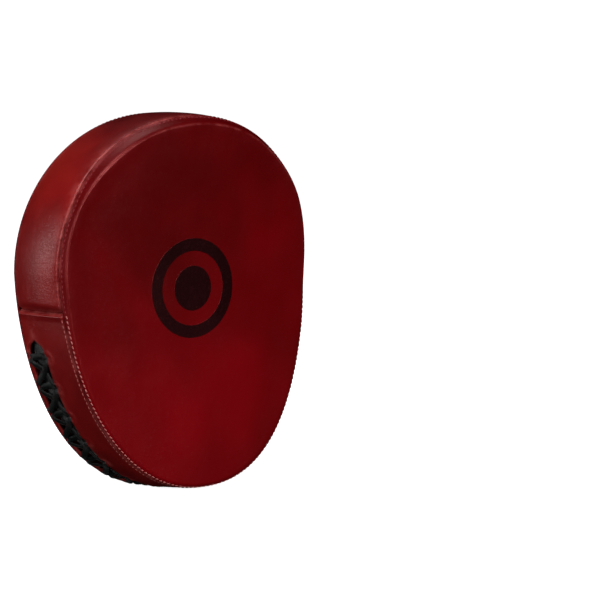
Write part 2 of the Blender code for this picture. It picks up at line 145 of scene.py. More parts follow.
class Sketch:
    """Adds and wires the nodes of one tree."""

    def __init__(self, tree: NodeTree) -> None:
        """Keep the tree that the nodes go into."""
        self.tree = tree

    def add(self, kind: str, values: dict | None = None, **settings: object) -> Node:
        """Add one node.

        Args:
            kind: The node's type without its Shader prefix.
            values: Socket name or index to a default value or to a socket that feeds it.
            settings: The node's own properties.

        Returns:
            The new node.
        """
        node = self.tree.nodes.new("ShaderNode" + kind)
        for key, value in settings.items():
            setattr(node, key, value)
        self.feed(node, values or {})
        return node

    def feed(self, node: Node, values: dict) -> None:
        """Set or wire the inputs of a node."""
        for key, value in values.items():
            if isinstance(value, NodeSocket):
                self.tree.links.new(value, node.inputs[key])
            else:
                node.inputs[key].default_value = value

    def close(self, sink: Node, **results: NodeSocket) -> NodeTree:
        """Wire a group's results to its output node and hand the group back."""
        self.feed(sink, results)
        return self.tree

    def use(self, group: NodeTree, values: dict) -> NodeOutputs:
        """Results of a shared node group on some values or sockets."""
        return self.add("Group", values, node_tree=group).outputs

    def cloud(self, vector: NodeSocket, scale: object, detail: float = 2.0, **more: float) -> NodeSocket:
        """Strength of a cloudy noise."""
        return self.add("TexNoise", {"Vector": vector, "Scale": scale, "Detail": detail, **more}).outputs[0]

    def times(self, one: object, two: object, clamp: bool = False) -> NodeSocket:
        """Product of two values or sockets."""
        return self.math("MULTIPLY", one, two, clamp=clamp)

    def plus(self, one: object, two: object) -> NodeSocket:
        """Sum of two values or sockets."""
        return self.math("ADD", one, two)

    def math(self, operation: str, one: object, two: object = 0.0, three: object = 0.0, clamp: bool = False) \
            -> NodeSocket:
        """Output of a math node on up to three values or sockets."""
        return self.add("Math", {0: one, 1: two, 2: three}, operation=operation, use_clamp=clamp).outputs[0]

    def mix(self, share: object, one: object, two: object) -> NodeSocket:
        """Colour mixed from two colours or sockets."""
        return self.add("Mix", {0: share, 6: one, 7: two}, data_type="RGBA").outputs[2]

    def ramp(self, value: NodeSocket, low: float, high: float) -> NodeSocket:
        """Share from 0 to 1 that eases between two limits of a value."""
        return self.add("MapRange", {0: value, 1: low, 2: high}, interpolation_type="SMOOTHSTEP").outputs[0]


VECTOR, COLOUR, VALUE = "NodeSocketVector", "NodeSocketColor", "NodeSocketFloat"


def new_group(name: str, inputs: dict[str, str | float], *results: str) -> tuple[Sketch, NodeOutputs, Node]:
    """Start a shader node group.

    Args:
        name: The group's name.
        inputs: Name of each input, with its socket type or a number to start from.
        results: Name of each output. All are numbers, but for the colour.

    Returns:
        A sketch on the group, the sockets that come in and the node that everything goes out through.
    """
    group = bpy.data.node_groups.new(name, "ShaderNodeTree")
    for label, start in inputs.items():
        kind = start if isinstance(start, str) else VALUE
        socket = group.interface.new_socket(label, in_out="INPUT", socket_type=kind)
        if kind is VALUE:
            socket.default_value = start
    for label in results:
        group.interface.new_socket(label, in_out="OUTPUT", socket_type=COLOUR if label == "Color" else VALUE)
    source = group.nodes.new("NodeGroupInput")
    return Sketch(group), source.outputs, group.nodes.new("NodeGroupOutput")


class Effects:
    """Shared surface effects, each a node group that is built once."""

    def __init__(self) -> None:
        """Build every group."""
        self.dye_and_shade = self._dye_and_shade()
        self.grain = self._grain()
        self.wear_and_sheen = self._wear_and_sheen()
        self.weave = self._weave()
        self.target = self._target()

    @staticmethod
    def _dye_and_shade() -> NodeTree:
        """Hand-rubbed dye: cloudy patches of a dark and a light tone with soft streaks, mixed with a painted
        shade ramp that makes one side lighter and the other darker.
        """
        sketch, given, sink = new_group(
            "rubbed_dye_and_painted_shade",
            {"Vector": VECTOR, "Dark": COLOUR, "Light": COLOUR, "Glow": COLOUR, "Scale": 20.0, "Patches": 0.5,
             "Axis": VECTOR, "Shade From": -0.1, "Shade To": 0.1, "Fade": 0.0}, "Color")
        vector, scale = given["Vector"], given["Scale"]
        cloud = sketch.cloud(vector, scale, 3.0, Roughness=0.5)
        patch = sketch.cloud(vector, sketch.times(scale, 0.45), Distortion=0.6)
        stretched = sketch.add("Mapping", {"Vector": vector, "Scale": (1.0, 1.0, 0.25)}).outputs[0]
        streak = sketch.cloud(stretched, sketch.times(scale, 3.0), 4.0, Roughness=0.6)
        both = sketch.plus(sketch.times(cloud, 0.8), sketch.times(streak, 0.2))
        # Painted shade: a ramp along the shade axis, lighter on one side and darker on the other, mixed into
        # the dye's mask by its share.
        along = sketch.add("VectorMath", {0: vector, 1: given["Axis"]}, operation="DOT_PRODUCT")
        fade = sketch.ramp(along.outputs["Value"], given["Shade From"], given["Shade To"])
        mask = sketch.add("Mix", {0: given["Fade"], 2: sketch.ramp(both, 0.33, 0.67), 3: fade}).outputs[0]
        tint = sketch.mix(mask, given["Dark"], given["Light"])
        glow = sketch.times(sketch.ramp(patch, 0.5, 0.68), given["Patches"])
        return sketch.close(sink, Color=sketch.mix(glow, tint, given["Glow"]))

    @staticmethod
    def _grain() -> NodeTree:
        """Leather grain: small pebbles between creases, with pores."""
        sketch, given, sink = new_group("leather_grain", {"Vector": VECTOR, "Scale": 700.0}, "Height", "Gloss")
        vector, scale = given["Vector"], given["Scale"]
        bent = sketch.add("TexNoise", {"Vector": vector, "Scale": sketch.times(scale, 0.3), "Detail": 2.0})
        pull = sketch.add("VectorMath", {0: bent.outputs["Color"], "Scale": 0.0025}, operation="SCALE")
        moved = sketch.add("VectorMath", {0: vector, 1: pull.outputs[0]}, operation="ADD")
        cells = {"Vector": moved.outputs[0], "Scale": scale}
        pebble = sketch.add("TexVoronoi", cells, feature="DISTANCE_TO_EDGE")
        pore = sketch.times(sketch.cloud(vector, sketch.times(scale, 2.4)), 0.3)
        broad = sketch.cloud(vector, sketch.times(scale, 0.06), 3.0)
        height = sketch.plus(sketch.times(sketch.ramp(pebble.outputs[0], 0.0, 0.28), 0.55), pore)
        height = sketch.plus(height, sketch.times(broad, 0.9))
        gloss = sketch.plus(sketch.times(broad, 0.7), pore)
        return sketch.close(sink, Height=height, Gloss=gloss)

    @staticmethod
    def _wear_and_sheen() -> NodeTree:
        """Edge wear and painted sheen: a paler tone along folds, seams and holes, broken up by scuffs; on the
        red leathers it also paints highlights on folds and puckers.
        """
        sketch, given, sink = new_group(
            "edge_wear_and_sheen", {"Vector": VECTOR, "Color": COLOUR, "Worn And Sheen": COLOUR, "Edge": 0.0, "Amount": 0.5},
            "Color")
        scuff = sketch.cloud(given["Vector"], 90.0, 5.0, Roughness=0.65)
        rubbed_and_sheen = sketch.times(given["Edge"], sketch.ramp(scuff, 0.36, 0.66))
        mask = sketch.times(rubbed_and_sheen, given["Amount"], clamp=True)
        return sketch.close(sink, Color=sketch.mix(mask, given["Color"], given["Worn And Sheen"]))

    @staticmethod
    def _weave() -> NodeTree:
        """Plain weave of warp and weft threads over a surface's own coordinates in metres."""
        sketch, given, sink = new_group("plain_weave", {"Vector": VECTOR, "Threads": 1200.0}, "Height", "Fuzz")
        axes = sketch.add("SeparateXYZ", {0: given["Vector"]})
        turn = sketch.times(given["Threads"], HALF)
        warp = sketch.math("SINE", sketch.times(axes.outputs[0], turn))
        weft = sketch.math("SINE", sketch.times(axes.outputs[1], turn))
        cross = sketch.times(warp, weft)
        over = sketch.math("ABSOLUTE", cross)
        lift = sketch.math("MULTIPLY_ADD", cross, 0.5, 0.5)
        fuzz = sketch.cloud(given["Vector"], sketch.times(given["Threads"], 1.5), 3.0)
        height = sketch.plus(sketch.times(over, 0.8), sketch.times(lift, 0.4))
        return sketch.close(sink, Height=sketch.plus(height, sketch.times(fuzz, 0.3)), Fuzz=fuzz)

    @staticmethod
    def _target() -> NodeTree:
        """Printed target: a disc inside a ring, centred on the origin of the vector, in metres."""
        sketch, given, sink = new_group(
            "target_print", {"Vector": VECTOR, "Ring": 0.03, "Band": 0.004, "Disc": 0.016}, "Mask")
        vector = given["Vector"]
        flat = sketch.add("VectorMath", {0: vector, 1: (1.0, 0.0, 1.0)}, operation="MULTIPLY")
        reach = sketch.add("VectorMath", {0: flat.outputs[0]}, operation="LENGTH").outputs["Value"]
        ragged = sketch.math("MULTIPLY_ADD", sketch.cloud(vector, 420.0, 3.0), 0.0005, -0.00025)
        reach = sketch.plus(reach, ragged)
        from_ring = sketch.math("ABSOLUTE", sketch.math("SUBTRACT", reach, given["Ring"]))
        inside_ring = sketch.math("SUBTRACT", given["Band"], from_ring)
        inside_disc = sketch.math("SUBTRACT", given["Disc"], reach)
        inside = sketch.math("MAXIMUM", inside_ring, inside_disc)
        return sketch.close(sink, Mask=sketch.ramp(inside, -0.00015, 0.00015))


# ---- finishes

@dataclass(frozen=True)
class Leather:
    """Dyed and polished leather, with an optional painted shade ramp and a pale edge tone that is partly wear
    and partly painted highlight.
    """

    name: str
    dark: Tone
    light: Tone
    glow: Tone
    # Pale edge tone: wear, and on the face and side wall also painted highlight on folds and hole puckers.
    worn_and_sheen: Tone
    roughness: float = 0.4
    gloss_spread: float = 0.16
    specular: float = 0.3
    coat: float = 0.1
    coat_roughness: float = 0.28
    cloud_scale: float = 22.0
    patches: float = 0.5
    # Direction and ramp (from, to, share) of the painted shade: one side of the piece lighter, the other
    # darker.
    axis: tuple[float, float, float] = (0.0, 0.0, -1.0)
    fade: tuple[float, float, float] = (-0.1, 0.1, 0.0)
    gleam: Tone = (1.0, 1.0, 1.0)
    # Strength of the pale edge tone, wear and painted highlight together.
    wear_and_sheen: float = 0.5
    grain_scale: float = 800.0
    grain_depth: float = 0.00007
    target: Target | None = None

    def make(self, effects: Effects) -> Material:
        """Material of this leather.

        Args:
            effects: The shared node groups.

        Returns:
            The new material.
        """
        material, sketch, shader = start_material(self.name)
        place = sketch.add("TexCoord").outputs["Object"]
        # The dye carries the painted shade ramp along the shade axis.
        shade_from, shade_to, fade = self.fade
        dye_and_shade = sketch.use(effects.dye_and_shade, {
            "Vector": place, "Dark": (*self.dark, 1.0), "Light": (*self.light, 1.0), "Glow": (*self.glow, 1.0),
            "Scale": self.cloud_scale, "Patches": self.patches, "Axis": self.axis, "Shade From": shade_from,
            "Shade To": shade_to, "Fade": fade})
        grain = sketch.use(effects.grain, {"Vector": place, "Scale": self.grain_scale})
        # Pale edge tone from the painted mask: wear, and in places painted highlight.
        edge = sketch.add("Attribute", attribute_name=EDGE).outputs["Fac"]
        wear_and_sheen = sketch.use(effects.wear_and_sheen, {"Vector": place, "Color": dye_and_shade["Color"], "Worn And Sheen": (*self.worn_and_sheen, 1.0),
                                         "Edge": edge, "Amount": self.wear_and_sheen})
        colour = wear_and_sheen["Color"]
        gloss = sketch.math("MULTIPLY_ADD", grain["Gloss"], self.gloss_spread,
                            self.roughness - 0.5 * self.gloss_spread)
        height = grain["Height"]
        if self.target:
            centre = UPWARD * -self.target.centre_z * MM
            centred = sketch.add("Mapping", {"Vector": place, "Location": centre}).outputs[0]
            mark = sketch.use(effects.target, {"Vector": centred, "Ring": self.target.ring * MM,
                                               "Band": self.target.band * MM, "Disc": self.target.disc * MM})
            mask = mark["Mask"]
            colour = sketch.mix(sketch.times(mask, self.target.cover), colour, (*self.target.ink, 1.0))
            gloss = sketch.plus(gloss, sketch.times(mask, self.target.gloss_change))
            height = sketch.plus(height, sketch.times(mask, self.target.lift))
        bump = sketch.add("Bump", {"Height": height, "Distance": self.grain_depth, "Strength": 1.0})
        sketch.feed(shader, {
            "Base Color": colour, "Roughness": gloss, "Normal": bump.outputs[0],
            "Specular IOR Level": self.specular, "Specular Tint": (*self.gleam, 1.0),
            "Coat Weight": self.coat, "Coat Roughness": self.coat_roughness})
        return material


@dataclass(frozen=True)
class Target:
    """Plain printed target on the striking face."""

    centre_z: float = 41.0
    ring: float = 29.0
    band: float = 4.2
    disc: float = 15.0
    ink: Tone = tone(3, 0, 1)
    cover: float = 0.97
    gloss_change: float = 0.06
    lift: float = 0.8


@dataclass(frozen=True)
class Cloth:
    """Woven cloth, webbing or cord that follows the piece's own coordinates."""

    name: str
    colour: Tone
    pale: Tone
    threads: float = 1300.0
    roughness: float = 0.75
    specular: float = 0.3
    sheen: float = 0.25
    depth: float = 0.0003

    def make(self, effects: Effects) -> Material:
        """Material of this cloth."""
        material, sketch, shader = start_material(self.name)
        along = sketch.add("TexCoord").outputs["UV"]
        weave = sketch.use(effects.weave, {"Vector": along, "Threads": self.threads})
        share = sketch.times(weave["Height"], weave["Fuzz"])
        colour = sketch.mix(share, (*self.colour, 1.0), (*self.pale, 1.0))
        gloss = sketch.math("MULTIPLY_ADD", weave["Fuzz"], 0.2, self.roughness - 0.1)
        bump = sketch.add("Bump", {"Height": weave["Height"], "Distance": self.depth, "Strength": 1.0})
        sketch.feed(shader, {
            "Base Color": colour, "Roughness": gloss, "Normal": bump.outputs[0],
            "Specular IOR Level": self.specular, "Sheen Weight": self.sheen, "Sheen Roughness": 0.4})
        return material


@dataclass(frozen=True)
class Matt:
    """Foam, board, thread or floor: one tone broken up by a fine speckle."""

    name: str
    colour: Tone
    speck: Tone
    scale: float = 900.0
    roughness: float = 0.8
    specular: float = 0.3
    depth: float = 0.0002
    glow: float = 0.0

    def make(self, effects: Effects) -> Material:
        """Material with its speckle."""
        material, sketch, shader = start_material(self.name)
        place = sketch.add("TexCoord").outputs["Object"]
        cells = sketch.cloud(place, self.scale, 4.0, Roughness=0.6)
        mask = sketch.ramp(cells, 0.35, 0.7)
        colour = sketch.mix(mask, (*self.colour, 1.0), (*self.speck, 1.0))
        gloss = sketch.math("MULTIPLY_ADD", cells, 0.2, self.roughness - 0.1)
        bump = sketch.add("Bump", {"Height": cells, "Distance": self.depth, "Strength": 0.8})
        sketch.feed(shader, {"Base Color": colour, "Roughness": gloss, "Normal": bump.outputs[0],
                             "Specular IOR Level": self.specular})
        if self.glow:
            sketch.feed(shader, {"Emission Color": (*self.colour, 1.0), "Emission Strength": self.glow})
        return material


def start_material(name: str) -> tuple[Material, Sketch, Node]:
    """New material with its sketch and its shader."""
    material = bpy.data.materials.new(name)
    material.use_nodes = True
    return material, Sketch(material.node_tree), material.node_tree.nodes["Principled BSDF"]


class Finish(Enum):
    """Every finish on the mitt."""

    # Face: painted light and shade, lighter towards the lower -X side and darker towards the upper +X side; its
    # pale worn tone also paints part of the crease's highlight.
    FACE = Leather("face_leather", tone(70, 0, 1), tone(103, 0, 6), tone(130, 0, 11), tone(176, 84, 84),
                   specular=0.5, gleam=(1.0, 0.26, 0.26), coat=0.0, roughness=0.34, cloud_scale=11.0,
                   axis=(-0.5, 0.0, -0.87), fade=(-0.05, 0.08, 0.5), patches=0.35, target=Target())
    # Side wall: painted shade, darker towards the top; its pale worn tone also paints the highlights along the
    # folded edges and round the lace holes.
    SIDE = Leather("side_leather", tone(62, 5, 8), tone(120, 14, 14), tone(138, 30, 22), tone(196, 100, 96),
                   specular=0.5, gleam=(1.0, 0.5, 0.5), coat=0.0, roughness=0.34, cloud_scale=24.0,
                   fade=(-0.16, -0.125, 0.5), wear_and_sheen=0.6)
    BACK = Leather("back_leather", tone(82, 2, 9), tone(118, 4, 16), tone(140, 6, 22), tone(150, 48, 48),
                   specular=0.4, coat=0.05, cloud_scale=24.0)
    BLACK = Leather("black_leather", tone(16, 15, 16), tone(28, 27, 28), tone(34, 32, 32), tone(60, 56, 54),
                    roughness=0.48, specular=0.4, coat=0.05)
    # Dark matt strip for the seam groove: painted shade of the seam's valley.
    SEAM_SHADE = Leather("seam_shade_leather", tone(24, 4, 6), tone(34, 6, 8), tone(40, 6, 9), tone(60, 14, 16),
                   roughness=0.6, specular=0.1, coat=0.0)
    NYLON = Cloth("black_nylon", tone(6, 8, 8), tone(24, 26, 27))
    LACE = Cloth("waxed_lace", tone(2, 4, 4), tone(9, 14, 13), threads=1500.0, roughness=0.42, specular=0.35,
                 sheen=0.04, depth=0.00015)
    LINING = Cloth("lining_cloth", tone(20, 20, 22), tone(52, 52, 56), threads=900.0, roughness=0.85)
    HOOKS = Cloth("hook_tape", tone(12, 12, 13), tone(44, 44, 46), threads=700.0, roughness=0.6, depth=0.0006)
    LOOPS = Cloth("loop_tape", tone(16, 16, 17), tone(58, 58, 60), threads=480.0, roughness=0.95, sheen=0.6,
                  depth=0.0009)
    THREAD = Matt("red_thread", tone(148, 66, 64), tone(184, 112, 106), scale=1600.0, roughness=0.55)
    DARK_THREAD = Matt("dark_thread", tone(100, 14, 22), tone(132, 34, 40), scale=1600.0, roughness=0.55)
    BLACK_THREAD = Matt("black_thread", tone(16, 16, 17), tone(54, 52, 52), scale=1600.0, roughness=0.6)
    FOAM = Matt("dark_foam", tone(40, 30, 30), tone(26, 20, 20), scale=700.0, roughness=0.9)
    BOARD = Matt("grey_board", tone(120, 120, 124), tone(98, 98, 104), scale=240.0, roughness=0.7)


# ---- mesh helpers

def skin(rows: Sequence[Sequence[Vector]], closed: bool = False,
         wear_and_sheen: Callable[[int, int], float] | None = None) -> BMesh:
    """Skin matching rows of points by extruding the first row through the others.

    Args:
        rows: Rows with the same number of points.
        closed: Whether each row is a ring.
        wear_and_sheen: Pale edge tone at a row and a column, from 0 to 1: wear, and in places painted
            highlight.

    Returns:
        The mesh, with surface coordinates in metres and the pale edge tone on its points.
    """
    bm = bmesh.new()
    column = bm.verts.layers.int.new("column")
    line = bm.verts.layers.int.new("line")
    edge = bm.verts.layers.float.new(EDGE)
    front = [bm.verts.new(point) for point in rows[0]]
    for index, vert in enumerate(front):
        vert[column] = index
    pairs = list(zip(front, front[1:]))
    if closed:
        pairs.append((front[-1], front[0]))
    edges = [bm.edges.new(pair) for pair in pairs]
    for number, row in enumerate(rows[1:], 1):
        made = bmesh.ops.extrude_edge_only(bm, edges=edges)["geom"]
        verts = {item for item in made if isinstance(item, BMVert)}
        edges = [item for item in made if isinstance(item, BMEdge) and set(item.verts) <= verts]
        for vert in verts:
            vert.co = row[vert[column]]
            vert[line] = number
    if wear_and_sheen:
        for vert in bm.verts:
            vert[edge] = wear_and_sheen(vert[line], vert[column])
    lay_coordinates(bm, rows, column, line)
    return bm


def lay_coordinates(bm: BMesh, rows: Sequence[Sequence[Vector]],
                    column: BMLayerItem, line: BMLayerItem) -> None:
    """Give a skinned mesh surface coordinates in metres, from its rows and columns."""
    count = len(rows[0])
    middle = rows[len(rows) // 2]
    across = sum((b - a).length for a, b in zip(middle, middle[1:])) / max(count - 1, 1) * MM
    along = sum((b[count // 2] - a[count // 2]).length for a, b in zip(rows, rows[1:])) / (len(rows) - 1) * MM
    layer = bm.loops.layers.uv.new("UVMap")
    for face in bm.faces:
        columns = [loop.vert[column] for loop in face.loops]
        wraps = max(columns) - min(columns) > 1
        for loop in face.loops:
            place = loop.vert[column]
            if wraps and place == 0:
                place = count
            loop[layer].uv = (place * across, loop.vert[line] * along)


def stand(name: str, data: ID) -> Object:
    """New object in the scene."""
    thing = bpy.data.objects.new(name, data)
    bpy.context.scene.collection.objects.link(thing)
    return thing


def close_up(bm: BMesh) -> None:
    """Fill every opening and turn all faces outwards."""
    bmesh.ops.holes_fill(bm, edges=[edge for edge in bm.edges if edge.is_boundary], sides=0)
    bmesh.ops.recalc_face_normals(bm, faces=bm.faces)


def close_disc(bm: BMesh, is_inner: Callable[[BMEdge], bool]) -> None:
    """Fill a sheet's round inner opening with a fan of faces."""
    edges = [edge for edge in bm.edges if edge.is_boundary and is_inner(edge)]
    bmesh.ops.poke(bm, faces=bmesh.ops.holes_fill(bm, edges=edges, sides=0)["faces"])


def turn_out(bm: BMesh, centre: Vector) -> None:
    """Turn the faces of a sheet so that most of them look away from a centre."""
    bm.normal_update()
    balance = sum(face.normal.dot(face.calc_center_median() - centre) * face.calc_area() for face in bm.faces)
    if balance < 0.0:
        bmesh.ops.reverse_faces(bm, faces=bm.faces)


@dataclass
class Piece:
    """What a finished piece needs besides its mesh."""

    name: str
    finish: Finish
    slot: str
    body: str = "pad"
    replaces: tuple[str, ...] = ()
    wall: float = 0.0
    wall_side: float = -1.0
    smooth: int = 0
    fill: float | None = None
    blend: tuple[str, str, Vector, Vector] | None = None

    def place(self, bm: BMesh, shop: Shop) -> Object:
        """Turn the mesh into an object, dress it and hang it on its body; a piece with a blend is baked in
        place and hung on no body.

        Args:
            bm: The mesh in millimetres, which is used up.
            shop: Where the materials are kept.

        Returns:
            The new object.
        """
        bmesh.ops.scale(bm, vec=(MM, MM, MM), verts=bm.verts)
        mesh = bpy.data.meshes.new(self.name)
        bm.to_mesh(mesh)
        bm.free()
        for label in ("column", "line"):
            if label in mesh.attributes:
                mesh.attributes.remove(mesh.attributes[label])
        mesh.shade_smooth()
        mesh.set_sharp_from_angle(angle=SHARP_ANGLE)
        mesh.materials.append(shop.material(self.finish))
        piece = stand(self.name, mesh)
        if self.wall:
            wall = piece.modifiers.new("wall", "SOLIDIFY")
            wall.thickness = self.wall * MM
            wall.offset = self.wall_side
            wall.use_even_offset = True
        if self.smooth:
            rounded = piece.modifiers.new("rounded", "SUBSURF")
            rounded.levels = self.smooth
            rounded.render_levels = self.smooth
        if self.blend:
            first, second, start, end = self.blend
            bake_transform(piece)
        else:
            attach(piece, self.body)
        if self.replaces:
            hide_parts(*self.replaces)
        log.info("%s: %d faces", self.name, len(mesh.polygons))
        return piece


class Shop:
    """Makes each finish once and hands it out."""

    def __init__(self) -> None:
        """Build the shared effects and an empty shelf of materials."""
        self.effects = Effects()
        self.shelf: dict[Finish, Material] = {}

    def material(self, finish: Finish) -> Material:
        """Material of a finish, made when it is first asked for."""
        if finish not in self.shelf:
            self.shelf[finish] = finish.value.make(self.effects)
        return self.shelf[finish]

    def dress(self, node: Object, finish: Finish) -> None:
        """Give a frame node a finish in all its material slots."""
        if not node.data.materials:
            node.data.materials.append(self.material(finish))
        for index in range(len(node.data.materials)):
            node.data.materials[index] = self.material(finish)


@dataclass(frozen=True)
class Stitch:
    """Size of one stitch of a sewn row."""

    length: float = 2.4
    width: float = 0.65
    height: float = 0.5
    pitch: float = 3.4
    lift: float = 0.1
    slant: float = 0.0
    sides: int = 6
    bands: int = 4

    def sew(self, bm: BMesh, path: Path, closed: bool = False) -> None:
        """Add a row of stitches to a mesh.

        Args:
            bm: The mesh that the stitches go into.
            path: Points of the seam, each with the surface's normal there.
            closed: Whether the seam runs back to its start.
        """
        points = list(path)
        if closed:
            points.append(points[0])
        lengths = [0.0]
        for (a, _), (b, _) in zip(points, points[1:]):
            lengths.append(lengths[-1] + (b - a).length)
        count = max(int(lengths[-1] / self.pitch), 1)
        step = lengths[-1] / count
        index = 0
        for number in range(count):
            wanted = (number + 0.5) * step
            while lengths[index + 1] < wanted:
                index += 1
            (a, na), (b, nb) = points[index], points[index + 1]
            share = (wanted - lengths[index]) / (lengths[index + 1] - lengths[index])
            up = na.lerp(nb, share).normalized()
            ahead = (b - a).normalized()
            side = up.cross(ahead).normalized()
            ahead = side.cross(up).normalized()
            turned = Matrix((ahead, side, up)).transposed().to_4x4()
            size = Matrix.Diagonal((0.5 * self.length, 0.5 * self.width, 0.5 * self.height, 1.0))
            spot = Matrix.Translation(a.lerp(b, share) + up * self.lift)
            slanted = Matrix.Rotation(self.slant, 4, "Z")
            bmesh.ops.create_uvsphere(bm, u_segments=self.sides, v_segments=self.bands, radius=1.0,
                                      matrix=spot @ turned @ slanted @ size @ Matrix.Rotation(QUARTER, 4, "Y"))


def ribbon(path: Path, half_width: float, half_thick: float, sides: int = 8) -> BMesh:
    """Flat oval lace or tape along a path.

    Args:
        path: Points of the middle line, each with the direction that the flat side faces.
        half_width: Half the width across the path.
        half_thick: Half the thickness.
        sides: Points round the section.

    Returns:
        The mesh of the ribbon.
    """
    rows = []
    for index, (point, up) in enumerate(path):
        before = path[max(index - 1, 0)][0]
        after = path[min(index + 1, len(path) - 1)][0]
        ahead = (after - before).normalized()
        side = ahead.cross(up).normalized()
        upright = side.cross(ahead).normalized()
        turns = [FULL * corner / sides for corner in range(sides)]
        rows.append([point + side * half_width * math.cos(turn) + upright * half_thick * math.sin(turn)
                     for turn in turns])
    bm = skin(rows, closed=True)
    close_up(bm)
    return bm


def curve_through(points: Sequence[Vector], steps: int) -> list[Vector]:
    """Smooth curve through points, with some steps between each pair."""
    curve = []
    last = len(points) - 1
    for index in range(last):
        p0, p1 = points[max(index - 1, 0)], points[index]
        p2, p3 = points[index + 1], points[min(index + 2, last)]
        for step in range(steps):
            t = step / steps
            curve.append(0.5 * (2.0 * p1 + (p2 - p0) * t + (2.0 * p0 - 5.0 * p1 + 4.0 * p2 - p3) * t * t
                                + (3.0 * p1 - p0 - 3.0 * p2 + p3) * t * t * t))
    return curve + [points[last]]


def smooth_route(points: Sequence[Vector], normals: Sequence[Vector], steps: int = 6) -> Path:
    """Path through points as a smooth curve, with its normals blended between them."""
    path: Path = []
    for number, spot in enumerate(curve_through(points, steps)):
        index = min(number // steps, len(points) - 2)
        share = number / steps - index
        path.append((spot, normals[index].lerp(normals[index + 1], share).normalized()))
    return path


FOLDED_ROLL = tuple(Vector(pair) for pair in (
    (1.0, 0.0), (0.88, 0.012), (0.76, 0.05), (0.65, 0.115), (0.56, 0.2), (0.48, 0.3), (0.39, 0.44),
    (0.27, 0.63), (0.14, 0.82), (0.0, 1.0)))


def join(target: BMesh, extra: BMesh) -> None:
    """Add one mesh to another and free it."""
    mesh = bpy.data.meshes.new("joined")
    extra.to_mesh(mesh)
    extra.free()
    target.from_mesh(mesh)
    bpy.data.meshes.remove(mesh)


class Stuffing:
    """Filling under a cover: a closed form that cloth simulation swells between its held seams."""

    def __init__(self, points: Iterable[Vector], held: Callable[[Vector], float], voxel: float = 6.0,
                 pressure: float = 4.0, cap: float = 2.5, frames: int = 20) -> None:
        """Simulate the filling.

        Args:
            points: Points whose convex form is the filling.
            held: How firmly a point is held, from 0 to 1.
            voxel: Size of the form's even faces.
            pressure: Pressure that swells it.
            cap: The furthest that a point may move.
            frames: Length of the simulation.
        """
        self.tree: kdtree.KDTree | None = None
        self.moves: list[Vector] = []
        obj = self._even_form(points, voxel)
        group = obj.vertex_groups.new(name="held")
        for vert in obj.data.vertices:
            weight = held(vert.co / MM)
            if weight > 0.0:
                group.add([vert.index], weight, "REPLACE")
        cloth = obj.modifiers.new("swell", "CLOTH")
        cloth.settings.use_pressure = True
        cloth.settings.uniform_pressure_force = pressure
        cloth.settings.vertex_group_mass = "held"
        cloth.settings.effector_weights.gravity = 0.0
        cloth.settings.quality = 5
        scene = bpy.context.scene
        for frame in range(1, frames + 1):
            scene.frame_set(frame)
        swollen = obj.evaluated_get(bpy.context.evaluated_depsgraph_get()).data
        self.tree = kdtree.KDTree(len(obj.data.vertices))
        for vert, moved in zip(obj.data.vertices, swollen.vertices):
            move = (moved.co - vert.co) / MM
            if move.length > cap:
                move = move.normalized() * cap
            self.tree.insert(vert.co / MM, vert.index)
            self.moves.append(move)
        self.tree.balance()
        scene.frame_set(1)
        bpy.data.objects.remove(obj)
        log.info("filling swelled by up to %.1f mm", max(move.length for move in self.moves))

    @staticmethod
    def _even_form(points: Iterable[Vector], voxel: float) -> Object:
        """Convex form of the points, remeshed to even faces."""
        bm = bmesh.new()
        for point in points:
            bm.verts.new(point * MM)
        hull = bmesh.ops.convex_hull(bm, input=bm.verts)
        inside = [item for item in hull["geom_interior"] if isinstance(item, BMVert)]
        bmesh.ops.delete(bm, geom=inside, context="VERTS")
        mesh = bpy.data.meshes.new("filling")
        bm.to_mesh(mesh)
        bm.free()
        obj = stand("filling", mesh)
        even = obj.modifiers.new("even", "REMESH")
        even.mode = "VOXEL"
        even.voxel_size = voxel * MM
        graph = bpy.context.evaluated_depsgraph_get()
        remeshed = bpy.data.meshes.new_from_object(obj.evaluated_get(graph))
        obj.modifiers.clear()
        obj.data = remeshed
        bpy.data.meshes.remove(mesh)
        return obj

    def push(self, bm: BMesh, share: float = 1.0) -> None:
        """Move a cover's points by what the filling beneath them moved."""
        if self.tree is None:
            return
        for vert in bm.verts:
            total = Vector()
            weights = 0.0
            for _, index, distance in self.tree.find_n(vert.co, 6):
                weight = 1.0 / (distance + 2.0)
                total += self.moves[index] * weight
                weights += weight
            vert.co += total / weights * share


# ---- outlines

def superellipse(angle: float, half_width: float, height: float, power: float, inset: float = 0.0) \
        -> tuple[float, float]:
    """Point of a superellipse at an angle, moved inwards along its normal."""
    across = abs(math.cos(angle)) ** (2.0 / power)
    up = abs(math.sin(angle)) ** (2.0 / power)
    normal = Vector((across ** (power - 1.0) / half_width, up ** (power - 1.0) / height)).normalized()
    x = math.copysign(across * half_width - inset * normal.x, math.cos(angle))
    y = math.copysign(up * height - inset * normal.y, math.sin(angle))
    return x, y


@dataclass
class Track:
    """Angles walked along the pad's outline, with the distance reached at each."""

    angles: list[float]
    walked: list[float]

    @property
    def length(self) -> float:
        """Whole length of the track."""
        return self.walked[-1]

    def angle(self, distance: float) -> float:
        """Angle at a distance from the start."""
        low, high = 0, len(self.walked) - 1
        while high - low > 1:
            middle = (low + high) // 2
            if self.walked[middle] < distance:
                low = middle
            else:
                high = middle
        share = (distance - self.walked[low]) / (self.walked[high] - self.walked[low])
        return self.angles[low] + share * (self.angles[high] - self.angles[low])

    def even(self, count: int) -> list[float]:
        """Distances that split the track into equal lengths, both ends included."""
        return [self.length * index / count for index in range(count + 1)]


